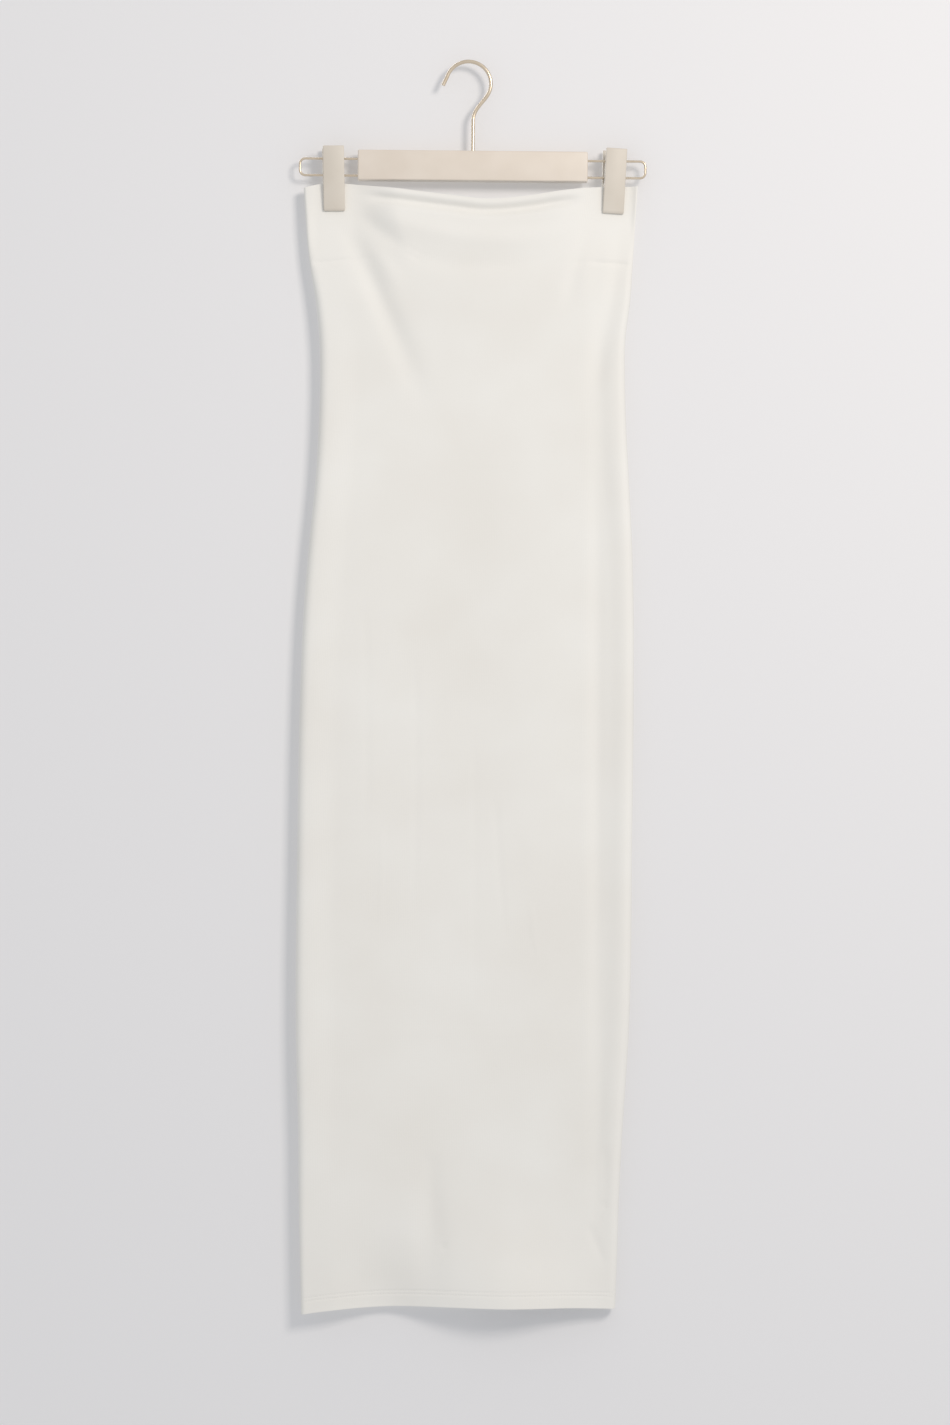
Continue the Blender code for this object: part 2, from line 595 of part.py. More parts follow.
def make_jaw(clip, side, frame, tilt, finish, parts, cutters):
    """One jaw: the bent plate, its knuckle round the rail's lower wire, and the knuckle's bore."""
    name = f"{clip.name}_jaw_{'front' if side < 0 else 'back'}"
    curve = bpy.data.curves.new(name, "CURVE")
    curve.dimensions = "2D"
    curve.fill_mode = "BOTH"
    curve.extrude = CLIP_WIDTH / 2 * MM
    spline = curve.splines.new("POLY")
    outline = jaw_profile(side)
    spline.points.add(len(outline) - 1)
    for place, (y, z) in zip(spline.points, outline):
        place.co = (y * MM, z * MM, 0.0, 1.0)
    spline.use_cyclic_u = True
    source = bpy.data.objects.new(name + "_outline", curve)
    cutters.objects.link(source)
    bpy.context.view_layer.update()
    evaluated = source.evaluated_get(bpy.context.evaluated_depsgraph_get())
    mesh = bpy.data.meshes.new_from_object(evaluated)
    bpy.data.objects.remove(source, do_unlink=True)
    shell = bmesh.new()
    shell.from_mesh(mesh)
    bmesh.ops.remove_doubles(shell, verts=shell.verts, dist=0.00001)
    for vertex in shell.verts:
        vertex.co = (vertex.co.z, vertex.co.x, vertex.co.y)
    bmesh.ops.recalc_face_normals(shell, faces=shell.faces)
    shell.to_mesh(mesh)
    shell.free()
    mesh.name = name
    jaw = bpy.data.objects.new(name, mesh)
    parts.objects.link(jaw)
    jaw.parent = frame
    bevel(jaw, CLIP_EDGE, 2)

    length = KNUCKLE_OUT - KNUCKLE_IN
    depth = KNUCKLE_REACH + PLATE_AT_KNUCKLE + KNUCKLE_ROOT
    middle = side * (depth / 2 - KNUCKLE_REACH)
    place = side * (KNUCKLE_IN + KNUCKLE_OUT) / 2
    size = (length, depth, 2 * KNUCKLE_REACH)
    knuckle = block(name + "_knuckle", size, (place, middle, 0.0), cutters)
    knuckle.parent = frame
    boolean(jaw, knuckle, "UNION")
    at = clip_place(clip)
    start, end = (at - CLIP_WIDTH, 0.0, RAIL_LOW_Z), (at + CLIP_WIDTH, 0.0, RAIL_LOW_Z)
    bore = rod_cutter(name + "_bore", RAIL_WIRE / 2 + GAP, start, end, cutters)
    bore.parent = tilt
    boolean(jaw, bore, "DIFFERENCE")
    dress(jaw, finish)


def make_spring(clip, tilt, finish, collection):
    """The torsion spring: turns round the lower wire, and a leg up behind each jaw's lever."""
    radius = RAIL_WIRE / 2 + GAP + SPRING_WIRE / 2
    pitch = SPRING_WIRE + GAP
    begin = clip_place(clip) - SPRING_TURNS * pitch / 2
    points = [(begin, -radius - SPRING_LEG_OUT, RAIL_LOW_Z + SPRING_LEG)]
    for step in range(round(SPRING_TURNS * SPRING_TURN_STEPS) + 1):
        turns = step / SPRING_TURN_STEPS
        angle = math.pi + 2 * math.pi * turns
        across = begin + pitch * turns
        points.append((across, radius * math.cos(angle), RAIL_LOW_Z + radius * math.sin(angle)))
    points.append((points[-1][0], radius + SPRING_LEG_OUT, RAIL_LOW_Z + SPRING_LEG))
    item = wire(clip.name + "_spring", points, SPRING_WIRE, collection)
    item.parent = tilt
    dress(item, finish)


def make_clip(clip, tilt, jaw_finish, spring_finish, parts, cutters):
    """Two jaws hinged on the rail's lower wire, leaning and turned as the clip hangs."""
    frame = bpy.data.objects.new(clip.name + "_frame", None)
    parts.objects.link(frame)
    frame.parent = tilt
    frame.location = (clip_place(clip) * MM, 0.0, RAIL_LOW_Z * MM)
    frame.rotation_euler = (0.0, clip.lean - HANGER_ROLL, clip.yaw)
    for side in (-1, 1):
        make_jaw(clip, side, frame, tilt, jaw_finish, parts, cutters)
    make_spring(clip, tilt, spring_finish, parts)


def build():
    """Make the whole object."""
    clear_scene()
    parts = make_collection("strapless_dress_on_clip_hanger")
    cutters = make_collection("cutters")
    cutters.hide_render = True
    cloth = ("EFEFEB", 0.85)
    moulded = ("E3D9CD", 0.45)
    clip_plastic = ("D3CCC0", 0.45)
    painted_wire = ("D8CBB9", 0.35, 0.6)
    steel = ("B9B7B2", 0.35, 1.0)

    make_panel("dress_front", "front", FRONT_MIDDLE_COLUMNS, cloth, parts)
    make_panel("dress_back", "back", BACK_MIDDLE_COLUMNS, cloth, parts)

    tilt = bpy.data.objects.new("hanger_tilt", None)
    tilt.rotation_euler = (0.0, HANGER_ROLL, 0.0)
    parts.objects.link(tilt)
    make_hook(painted_wire, parts)
    make_bar(tilt, moulded, parts, cutters)
    make_rails(tilt, painted_wire, parts)
    for clip in CLIPS:
        make_clip(clip, tilt, clip_plastic, steel, parts, cutters)


build()
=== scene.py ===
"""The looks of a strapless column dress of firm white double knit, hanging by clips from a hanger.

Sizes are in millimetres unless a name says otherwise, and MM turns them into metres where a mesh is
made. The frame is the part's own: +Z up, the dress's front faces -Y, and the origin is the underside
of the hook's crown.
"""

import json
import math
from collections import namedtuple

import bpy
import numpy as np
from mathutils import Matrix, Vector

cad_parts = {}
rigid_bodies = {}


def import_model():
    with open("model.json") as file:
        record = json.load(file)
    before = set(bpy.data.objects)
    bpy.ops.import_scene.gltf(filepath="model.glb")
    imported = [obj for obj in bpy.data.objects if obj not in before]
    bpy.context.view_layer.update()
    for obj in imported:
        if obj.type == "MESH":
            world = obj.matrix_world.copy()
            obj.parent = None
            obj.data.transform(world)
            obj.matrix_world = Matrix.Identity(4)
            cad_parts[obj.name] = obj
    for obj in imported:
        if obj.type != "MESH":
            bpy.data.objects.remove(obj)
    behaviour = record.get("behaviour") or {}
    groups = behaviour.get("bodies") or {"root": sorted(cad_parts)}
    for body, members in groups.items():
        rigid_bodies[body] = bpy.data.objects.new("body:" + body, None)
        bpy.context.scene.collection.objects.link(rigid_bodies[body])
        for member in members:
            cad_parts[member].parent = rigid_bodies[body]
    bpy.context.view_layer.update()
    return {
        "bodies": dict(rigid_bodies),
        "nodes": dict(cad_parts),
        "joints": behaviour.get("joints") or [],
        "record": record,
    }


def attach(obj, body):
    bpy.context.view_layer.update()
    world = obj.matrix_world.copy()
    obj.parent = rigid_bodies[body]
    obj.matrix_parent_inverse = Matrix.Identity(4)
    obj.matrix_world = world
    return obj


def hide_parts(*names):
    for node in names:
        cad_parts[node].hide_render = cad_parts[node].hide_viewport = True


MM = 0.001
GAP = 0.3

# Cloth, as cut and sewn
WALL = 1.2
HEM_WALL = 2.2
HEM_DEPTH = 19.0
TOP_TURN = 11.0
PINCHED = WALL + GAP / 2
SEAM_STRIP = 1.0
DRESS_LENGTH = 1167.0

# Hanger, drawn level. HANGER_ROLL then tips its right end down.
HANGER_ROLL = math.radians(0.55)
HANGER_CENTRE_X = 5.4
HOOK_WIRE = 3.9
HOOK_RADIUS = 23.3
HOOK_TIP_ANGLE = math.radians(160)
HOOK_TIP_DROP = 25.0
HOOK_TIP_FLARE = 4.6
STEM_TOP_Z = -60.0
NECK_PULL = 17.0
BAR_LENGTH = 239.0
BAR_HEIGHT = 31.5
BAR_DEPTH = 13.0
BAR_CENTRE_Z = -107.2
STEM_IN_BAR = 12.0
RAIL_WIRE = 2.5
RAIL_TOP_Z = -100.4
RAIL_LOW_Z = -117.8
RAIL_HALF_SPAN = 179.6
RAIL_CORNER = 5.5
RAIL_IN_BAR = 15.0
BAR_ROUND = 1.8
CROWN_STEPS = 48
NECK_STEPS = 24
CORNER_STEPS = 10

# Clips, each drawn round the rail's lower wire
CLIP_WIDTH = 22.0
CLIP_TOP = 29.5
CLIP_FOOT = -37.5
JAW_PAD_TOP = -8.5
JAW_KNEE_Z = -4.5
JAW_SHOULDER_Z = 5.0
LEVER_INNER_Y = 7.6
LEVER_OUTER_Y = 11.0
JAW_BELLY_Y = 5.2
JAW_BELLY_RISE = 2.0
JAW_FOOT_Y = 4.2
KNUCKLE_RADIUS = 3.7
KNUCKLE_IN = 3.9
KNUCKLE_OUT = 9.5
PLATE_AT_KNUCKLE = 4.3
SPRING_WIRE = 1.1
SPRING_TURNS = 3.5
SPRING_LEG = 9.0
SPRING_LEG_OUT = 1.2
SPRING_TURN_STEPS = 20
JAW_ROUND = 0.8
KNUCKLE_SIDES = 32

Clip = namedtuple("Clip", "name x lean yaw")
CLIPS = (
    Clip("clip_left", -140.4, math.radians(-1.1), math.radians(5.0)),
    Clip("clip_right", 151.2, math.radians(2.4), math.radians(9.0)),
)

# The hanging tube at each height: side outlines, radius of each rolled side edge, how far front and
# back stand off the middle sheet, and how far each side seam lies behind (+) or before (-) it.
Level = namedtuple("Level", "z left right roll_left roll_right front back seam_left seam_right")
LEVELS = (
    Level(-120.0, -171.5, 176.5, 2.6, 2.6, 12.0, 6.0, 0.0, 0.0),
    Level(-142.0, -170.6, 175.2, 3.4, 3.4, 11.0, 6.5, 0.0, 0.0),
    Level(-168.0, -169.0, 173.4, 5.0, 5.0, 10.5, 7.0, 0.0, 0.0),
    Level(-206.0, -165.4, 171.0, 7.5, 7.0, 10.5, 7.5, 0.0, 0.0),
    Level(-246.0, -159.1, 168.4, 8.5, 7.5, 10.0, 7.5, 0.0, 0.0),
    Level(-288.0, -155.0, 163.2, 9.0, 8.0, 9.0, 7.5, 0.0, 0.0),
    Level(-330.0, -154.4, 162.8, 9.0, 8.5, 8.0, 7.0, 0.0, 0.0),
    Level(-371.0, -155.5, 163.8, 9.0, 8.5, 7.5, 7.0, 0.0, 0.0),
    Level(-433.0, -159.1, 166.9, 9.0, 9.0, 7.0, 7.0, 0.0, 0.0),
    Level(-496.0, -165.4, 170.0, 9.0, 9.0, 7.0, 7.0, 0.0, 0.0),
    Level(-558.0, -170.6, 171.6, 9.0, 9.0, 7.0, 7.0, 0.0, 0.0),
    Level(-683.0, -175.8, 171.6, 9.0, 9.0, 7.0, 7.0, -0.5, 0.0),
    Level(-808.0, -177.8, 170.2, 9.0, 9.0, 7.0, 7.0, -1.5, 0.0),
    Level(-1005.0, -179.4, 166.9, 9.0, 9.0, 7.0, 7.0, -2.5, 0.0),
    Level(-1120.0, -176.8, 159.6, 8.0, 8.5, 7.5, 7.0, -3.0, 1.0),
    Level(-1182.0, -176.4, 156.5, 7.0, 8.0, 8.0, 7.0, -3.5, 2.0),
    Level(-1245.0, -175.0, 154.6, 5.5, 7.0, 8.0, 7.0, -5.0, 3.5),
    Level(-1300.0, -173.6, 152.4, 4.5, 6.0, 8.0, 7.0, -6.0, 4.5),
)
ROLL_BLEND_LEFT = 33.0
ROLL_BLEND_RIGHT = 18.0

# Height of the top edge and of the hem across the width
EdgePoint = namedtuple("EdgePoint", "x front back")
TOP_EDGE = (
    EdgePoint(-172.0, -130.0, -130.0),
    EdgePoint(-152.0, -125.6, -125.6),
    EdgePoint(-128.0, -125.2, -125.2),
    EdgePoint(-112.0, -126.6, -126.4),
    EdgePoint(-71.0, -131.4, -130.8),
    EdgePoint(-19.0, -138.0, -137.0),
    EdgePoint(17.0, -141.8, -140.6),
    EdgePoint(64.0, -138.4, -137.4),
    EdgePoint(95.0, -133.6, -133.0),
    EdgePoint(126.0, -130.0, -129.8),
    EdgePoint(140.0, -129.0, -129.0),
    EdgePoint(163.0, -128.4, -128.4),
    EdgePoint(177.0, -128.0, -128.0),
)
HEM_EDGE = (
    EdgePoint(-174.0, -1299.6, -1299.6),
    EdgePoint(-156.0, -1296.8, -1297.4),
    EdgePoint(-136.0, -1294.7, -1296.0),
    EdgePoint(-84.0, -1292.8, -1293.4),
    EdgePoint(33.0, -1291.2, -1292.6),
    EdgePoint(95.0, -1292.2, -1292.8),
    EdgePoint(152.0, -1294.8, -1294.8),
)

# Broad swells and hollows: extra stand-off of each panel, and sway of both together (+ is back).
Swell = namedtuple("Swell", "name x z half_width half_height front back sway")
SWELLS = (
    Swell("hem_bulge", 44.0, -1305.0, 62.0, 78.0, 19.0, -0.5, -2.0),
    Swell("hem_left_hollow", -84.0, -1305.0, 42.0, 62.0, -5.0, -3.5, 10.0),
    Swell("low_left_shade", -40.0, -1215.0, 16.0, 60.0, -2.0, 0.0, 1.0),
    Swell("right_channel", 134.0, -760.0, 9.0, 420.0, -2.6, -1.2, 0.0),
    Swell("bust_fullness", 8.0, -215.0, 90.0, 60.0, 2.5, 1.0, 0.0),
    Swell("hip_fullness_left", -112.0, -720.0, 40.0, 240.0, 1.2, 0.8, 0.0),
    Swell("hip_fullness_right", 70.0, -700.0, 46.0, 260.0, 1.4, 1.0, 0.0),
    Swell("back_mid_hollow", -20.0, -520.0, 50.0, 220.0, -0.6, -1.6, 0.0),
    Swell("back_hem_flare", 60.0, -1305.0, 60.0, 90.0, 0.0, 3.0, 0.0),
)

# Folds, each a soft trough (lift below 0) or ridge along a curve start, bend, end. The largest are
# also in the solids, and the finer ones below them are only here.
Fold = namedtuple("Fold", "name panel start bend end width_start width_end lift")
FOLDS = (
    Fold("left_clip_trough", "front", (-138, -156), (-100, -215), (-35, -381), 13, 30, -4.2),
    Fold("left_clip_ridge", "front", (-120, -164), (-92, -200), (-66, -246), 14, 22, 2.4),
    Fold("left_neck_trough", "front", (-117, -155), (-92, -176), (-52, -203), 12, 18, -2.0),
    Fold("neck_smile", "front", (-120, -147), (15, -208), (126, -166), 22, 22, 2.2),
    Fold("neck_trough", "front", (-70, -196), (20, -226), (100, -196), 22, 22, -1.4),
    Fold("right_clip_trough", "front", (158, -160), (152, -260), (117, -385), 13, 26, -3.2),
    Fold("right_neck_trough", "front", (128, -170), (110, -206), (100, -268), 12, 20, -2.0),
    Fold("left_dart", "front", (-166, -209), (-134, -205), (-104, -203), 7, 6, -1.6),
    Fold("right_dart", "front", (172, -210), (145, -208), (116, -207), 7, 6, -1.6),
    Fold("back_left_clip_trough", "back", (-136, -158), (-104, -222), (-52, -352), 14, 28, -2.8),
    Fold("back_right_clip_trough", "back", (150, -160), (128, -230), (84, -366), 14, 28, -2.8),
    Fold("back_neck_smile", "back", (-112, -146), (10, -176), (126, -150), 20, 20, 1.6),
    Fold("left_dart_line", "front", (-165, -208.6), (-134, -205), (-105, -203.4), 2.4, 2.0, -0.7),
    Fold("right_dart_line", "front", (171, -209.8), (145, -208), (118, -207), 2.4, 2.0, -0.7),
    Fold("left_dart_point", "front", (-108, -203), (-104, -203), (-97, -203.5), 5, 7, -0.5),
    Fold("right_dart_point", "front", (121, -207), (116, -208), (108, -210), 5, 7, -0.6),
    Fold("left_hip_wrinkle", "front", (-108, -560), (-103, -700), (-107, -850), 9, 8, -0.35),
    Fold("left_hip_line", "front", (-91, -790), (-90, -860), (-92, -905), 5, 4, 0.3),
    Fold("left_long_wrinkle", "front", (-55, -610), (-53, -760), (-57, -930), 8, 7, -0.4),
    Fold("centre_wrinkle", "front", (6, -700), (8, -850), (5, -1000), 8, 8, -0.3),
    Fold("right_long_wrinkle", "front", (27, -760), (33, -840), (38, -925), 8, 6, -0.45),
    Fold("right_bright_line", "front", (64, -872), (68, -905), (73, -934), 4, 3, 0.4),
    Fold("hem_pinch_left", "front", (-29, -1226), (-26, -1229), (-21, -1233), 5, 5, -1.0),
    Fold("hem_pinch_right", "front", (137, -1189), (141, -1187), (146, -1186), 5, 5, -1.0),
    Fold("hem_low_shade", "front", (-38, -1130), (-42, -1180), (-30, -1240), 14, 20, -0.8),
    Fold("hem_right_diagonal", "front", (124, -1206), (134, -1228), (144, -1256), 8, 8, -0.9),
    Fold("hem_right_shade", "front", (142, -1125), (143, -1160), (141, -1192), 7, 7, -0.7),
    Fold("packing_line_high", "front", (-150, -415), (0, -418), (155, -414), 5, 5, 0.22),
    Fold("packing_line_middle", "front", (-168, -714), (0, -716), (165, -712), 5, 5, 0.25),
    Fold("packing_line_low", "front", (-172, -1006), (0, -1009), (160, -1004), 5, 5, 0.25),
    Fold("back_packing_high", "back", (-150, -415), (0, -417), (155, -414), 5, 5, 0.22),
    Fold("back_packing_middle", "back", (-168, -714), (0, -717), (165, -712), 5, 5, 0.25),
    Fold("back_packing_low", "back", (-172, -1006), (0, -1008), (160, -1004), 5, 5, 0.25),
    Fold("back_long_wrinkle_left", "back", (-82, -560), (-77, -720), (-86, -900), 9, 8, -0.45),
    Fold("back_long_wrinkle_middle", "back", (12, -640), (7, -790), (14, -960), 9, 8, -0.4),
    Fold("back_long_wrinkle_right", "back", (94, -600), (99, -760), (92, -880), 9, 7, -0.45),
    Fold("back_hem_shade", "back", (-36, -1120), (-44, -1190), (-30, -1262), 14, 20, -1.0),
    Fold("back_hem_diagonal", "back", (112, -1190), (124, -1222), (138, -1262), 9, 9, -0.9),
)
FOLD_STEPS = 60
FOLD_FADE_IN = 0.12
FOLD_FADE_OUT = 0.4

# The turned top edge leans back at its brim, and the cloth draws back just under it.
LIP_LEAN = 2.2
LIP_LEAN_HALF = 3.4
LIP_GROOVE_BELOW = 12.0
LIP_GROOVE_HALF = 5.6
LIP_GROOVE_DEPTH = 6.0
LIP_REACH_LEFT = -118.0
LIP_REACH_RIGHT = 128.0
LIP_FADE = 26.0

# Sewn lines: distance from the edge, half width and depth of the furrow each leaves
HEM_ROW_LOW = 13.0
HEM_ROW_HIGH = 16.6
HEM_ROW_HALF = 0.9
HEM_ROW_DEPTH = 0.4
TOP_LINE = 10.0
TOP_LINE_HALF = 1.3
TOP_LINE_DEPTH = 0.4

# How the clips pinch the tube: flat across the jaws, then opening beside and below them
PINCH_HALF = CLIP_WIDTH / 2 + 5.6
PINCH_FADE_OUTER = 13.0
PINCH_FADE_INNER = 52.0
PINCH_SPREAD = 0.25
PINCH_FOOT_Z = -158.0
PINCH_DROP = 95.0

# Rows below the top edge, as bands from one distance to the next with a number of equal steps
Band = namedtuple("Band", "end steps")
ROW_BANDS = (
    Band(24.0, 20),
    Band(70.0, 19),
    Band(86.0, 15),
    Band(260.0, 54),
    Band(1060.0, 168),
    Band(DRESS_LENGTH - 20.0, 22),
    Band(DRESS_LENGTH - 10.0, 12),
    Band(DRESS_LENGTH, 8),
)
ROLL_STEPS = 7
MIDDLE_COLUMNS = {"front": 118, "back": 92}
EDGE_FADE = 9.0
SWAY_FADE = 27.0
EDGE_ROUND = 0.45
EDGE_ANGLE = math.radians(65)
TURN_FADE = 2.0
PRESS_RATE = 4

# Thread
THREAD = 0.42
STITCH = 3.0
STITCH_SHARE = 0.86
STITCH_STAND = 0.15

# Photograph's framing, which is taken as 950 x 1425 pixels
PHOTO_WIDE = 950
PHOTO_TALL = 1425
PIXEL = 1.04
HOOK_PIXEL_X = 468.5
HOOK_PIXEL_Y = 63.4
CAMERA_DISTANCE = 3500.0
SENSOR = 36.0

# Room
WALL_Y = 14.5
ROOM_HALF = 2600.0
FLOOR_Z = -1550.0

# Lights, in metres and watts. The key stands off in its direction from what it is aimed at.
AMBIENT = 0.72
KEY_AIM = (0.0, 0.0, -0.6)
KEY_DIRECTION = (0.60, -1.0, 0.55)
KEY_DISTANCE = 3.0
KEY_SIZE = 0.8
KEY_WATTS = 34.0
BACK_AIM = (0.0, 0.0, -0.65)
BACK_PLACE = (-1.0, 2.8, 1.0)
BACK_SIZE = 1.4
BACK_WATTS = 22.0


def smoothstep(t):
    """A soft step from 0 to 1 as t goes from 0 to 1."""
    t = np.clip(t, 0.0, 1.0)
    return t * t * (3.0 - 2.0 * t)


def smooth_table(at, knots, values):
    """The value at each place on a smooth curve through a table's rows."""
    knots = np.array(knots, dtype=float)
    values = np.array(values, dtype=float)
    if knots[0] > knots[-1]:
        knots, values = knots[::-1], values[::-1]
    slopes = np.gradient(values, knots)
    at = np.clip(at, knots[0], knots[-1])
    row = np.clip(np.searchsorted(knots, at) - 1, 0, len(knots) - 2)
    span = knots[row + 1] - knots[row]
    t = (at - knots[row]) / span
    rise = (1 + 2 * t) * (1 - t) ** 2 * values[row] + t * t * (3 - 2 * t) * values[row + 1]
    turn = t * (1 - t) ** 2 * slopes[row] - t * t * (1 - t) * slopes[row + 1]
    return rise + turn * span


def level(z, field):
    """One column of LEVELS at height z."""
    return smooth_table(z, [row.z for row in LEVELS], [getattr(row, field) for row in LEVELS])


def edge_height(x, table, panel):
    """Height of the top edge or hem of one panel at x."""
    return smooth_table(x, [row.x for row in table], [getattr(row, panel) for row in table])


def fold_lift(x, z, fold):
    """Lift of one fold at each point: a soft bell across its curve, fading at both ends."""
    t = np.linspace(0.0, 1.0, FOLD_STEPS)
    lead, mid, tail = (1 - t) ** 2, 2 * t * (1 - t), t * t
    curve_x = lead * fold.start[0] + mid * fold.bend[0] + tail * fold.end[0]
    curve_z = lead * fold.start[1] + mid * fold.bend[1] + tail * fold.end[1]
    square = (x[..., None] - curve_x) ** 2 + (z[..., None] - curve_z) ** 2
    near = square.argmin(axis=-1)
    half = (fold.width_start + (fold.width_end - fold.width_start) * t[near]) / 2
    fade = smoothstep(t[near] / FOLD_FADE_IN) * smoothstep((1 - t[near]) / FOLD_FADE_OUT)
    return fold.lift * fade * np.exp(-square.min(axis=-1) / half**2)


def swell_weight(x, z, swell):
    """Weight of one swell at each point, 1 at its centre."""
    across = (x - swell.x) / swell.half_width
    along = (z - swell.z) / swell.half_height
    return np.exp(-across**2 - along**2)


def pinch_weight(x, z, clip):
    """1 between the jaws of a clip, falling to 0 beside and below it."""
    below = np.maximum(PINCH_FOOT_Z - z, 0.0)
    beside = np.abs(x - clip.x) - PINCH_HALF
    is_inner = (x - clip.x) * clip.x < 0
    fade = np.where(is_inner, PINCH_FADE_INNER, PINCH_FADE_OUTER) + PINCH_SPREAD * below
    return (1 - smoothstep(beside / fade)) * (1 - smoothstep(below / PINCH_DROP))


def lip_groove(x, below_edge):
    """How far the front draws back at its brim and under its top edge, between the clips."""
    inside = smoothstep((x - LIP_REACH_LEFT) / LIP_FADE) * smoothstep((LIP_REACH_RIGHT - x) / LIP_FADE)
    lean = LIP_LEAN * np.exp(-((below_edge / LIP_LEAN_HALF) ** 2))
    groove = LIP_GROOVE_DEPTH * np.exp(-(((below_edge - LIP_GROOVE_BELOW) / LIP_GROOVE_HALF) ** 2))
    return inside * (lean + groove)


def furrow(distance, at, half, depth):
    """Depth of the furrow that a sewn line leaves, at each distance from the cloth's edge."""
    return depth * np.exp(-(((distance - at) / half) ** 2))


def panel_columns(panel):
    """Columns from the left seam to the right one: a kind, and a roll angle, strip place or share."""
    strip = [("strip", place) for place in (0.0, SEAM_STRIP / 2, SEAM_STRIP)]
    roll = [("roll", math.pi / 2 * step / ROLL_STEPS) for step in range(1, ROLL_STEPS)]
    side = strip + roll
    shares = np.linspace(0.0, 1.0, MIDDLE_COLUMNS[panel])
    columns = [("left", kind, value) for kind, value in side]
    columns += [("middle", "share", share) for share in shares]
    columns += [("right", kind, value) for kind, value in reversed(side)]
    return columns


def panel_rows():
    """Rows as shares of the way from the top edge to the hem."""
    rows, start = [0.0], 0.0
    for band in ROW_BANDS:
        rows += [start + (band.end - start) * step / band.steps for step in range(1, band.steps + 1)]
        start = band.end
    return np.array(rows) / DRESS_LENGTH


def column_place(column, z):
    """(x, stand-off) of a column at heights z, on the plain rolled tube with no fold."""
    where, kind, value = column
    left, right = level(z, "left"), level(z, "right")
    roll_left, roll_right = level(z, "roll_left"), level(z, "roll_right")
    if where == "middle":
        start, end = left + roll_left, right - roll_right
        return start + value * (end - start), None
    roll, side, inward = (roll_left, left, 1) if where == "left" else (roll_right, right, -1)
    if kind == "strip":
        return side + 0.0 * z, GAP / 2 + value + 0.0 * z
    return side + inward * roll * (1 - math.cos(value)), GAP / 2 + SEAM_STRIP + roll * math.sin(value)


def middle_standoff(x, z, panel):
    """Stand-off of the middle of a panel, blended into the rolled edge at each side."""
    rest = level(z, panel)
    roll_left, roll_right = level(z, "roll_left"), level(z, "roll_right")
    from_left = (x - level(z, "left") - roll_left) / ROLL_BLEND_LEFT
    from_right = (level(z, "right") - roll_right - x) / ROLL_BLEND_RIGHT
    near_left, near_right = 1 - smoothstep(from_left), 1 - smoothstep(from_right)
    edge = GAP / 2 + SEAM_STRIP
    return rest + (edge + roll_left - rest) * near_left + (edge + roll_right - rest) * near_right


def column_points(panel, column, share):
    """(x, y, z) of the outer face of a panel, for one column at an array of rows."""
    x_top = column_place(column, np.array([TOP_EDGE[0].front]))[0]
    x_hem = column_place(column, np.array([HEM_EDGE[-1].front]))[0]
    top = edge_height(x_top, TOP_EDGE, panel)
    hem = edge_height(x_hem, HEM_EDGE, panel)
    z = top + (hem - top) * share
    x, standoff = column_place(column, z)
    if standoff is None:
        standoff = middle_standoff(x, z, panel)

    from_side = np.minimum(x - level(z, "left"), level(z, "right") - x)
    free = smoothstep(from_side / EDGE_FADE)
    extra = np.zeros_like(x)
    for fold in FOLDS:
        if fold.panel == panel:
            extra += fold_lift(x, z, fold)
    width_share = (x - level(z, "left")) / (level(z, "right") - level(z, "left"))
    seam_left, seam_right = level(z, "seam_left"), level(z, "seam_right")
    middle = seam_left + (seam_right - seam_left) * smoothstep(width_share)
    for swell in SWELLS:
        weight = swell_weight(x, z, swell)
        extra += weight * getattr(swell, panel)
        middle += weight * swell.sway * smoothstep(from_side / SWAY_FADE)
    if panel == "front":
        extra -= lip_groove(x, top - z)
    standoff = standoff + free * extra

    sewn = furrow(z - hem, HEM_ROW_LOW, HEM_ROW_HALF, HEM_ROW_DEPTH)
    sewn += furrow(z - hem, HEM_ROW_HIGH, HEM_ROW_HALF, HEM_ROW_DEPTH)
    sewn += furrow(top - z, TOP_LINE, TOP_LINE_HALF, TOP_LINE_DEPTH)
    standoff = standoff - free * sewn

    for clip in CLIPS:
        weight = pinch_weight(x, z, clip)
        flat = PINCHED / math.cos(clip.yaw)
        standoff += (flat - standoff) * weight
        middle += (math.tan(clip.yaw) * (x - clip.x) - middle) * weight
    standoff = np.where(from_side > SEAM_STRIP, np.maximum(standoff, PINCHED), standoff)
    toward = -1 if panel == "front" else 1
    return np.stack([x, middle + toward * standoff, z], axis=-1)


def deselect():
    """Deselect everything, so that an operator acts only on the new piece."""
    for item in bpy.context.selected_objects:
        item.select_set(False)


def linear(code):
    """Linear colour of an sRGB hex value."""
    channels = [int(code[place : place + 2], 16) / 255 for place in (0, 2, 4)]
    return [c / 12.92 if c <= 0.04045 else ((c + 0.055) / 1.055) ** 2.4 for c in channels]


def add_node(tree, kind, inputs=None, **settings):
    """Add a node with its settings, and set or link each of its inputs."""
    node = tree.nodes.new(kind)
    for name, value in settings.items():
        setattr(node, name, value)
    for name, value in (inputs or {}).items():
        if isinstance(value, bpy.types.NodeSocket):
            tree.links.new(value, node.inputs[name])
        else:
            node.inputs[name].default_value = value
    return node


def new_material(name, sockets):
    """A material with only a Principled shader, whose own sockets are set."""
    made = bpy.data.materials.new(name)
    made.use_nodes = True
    tree = made.node_tree
    shader = tree.nodes["Principled BSDF"]
    for socket, value in sockets.items():
        shader.inputs[socket].default_value = value
    return made, tree, shader


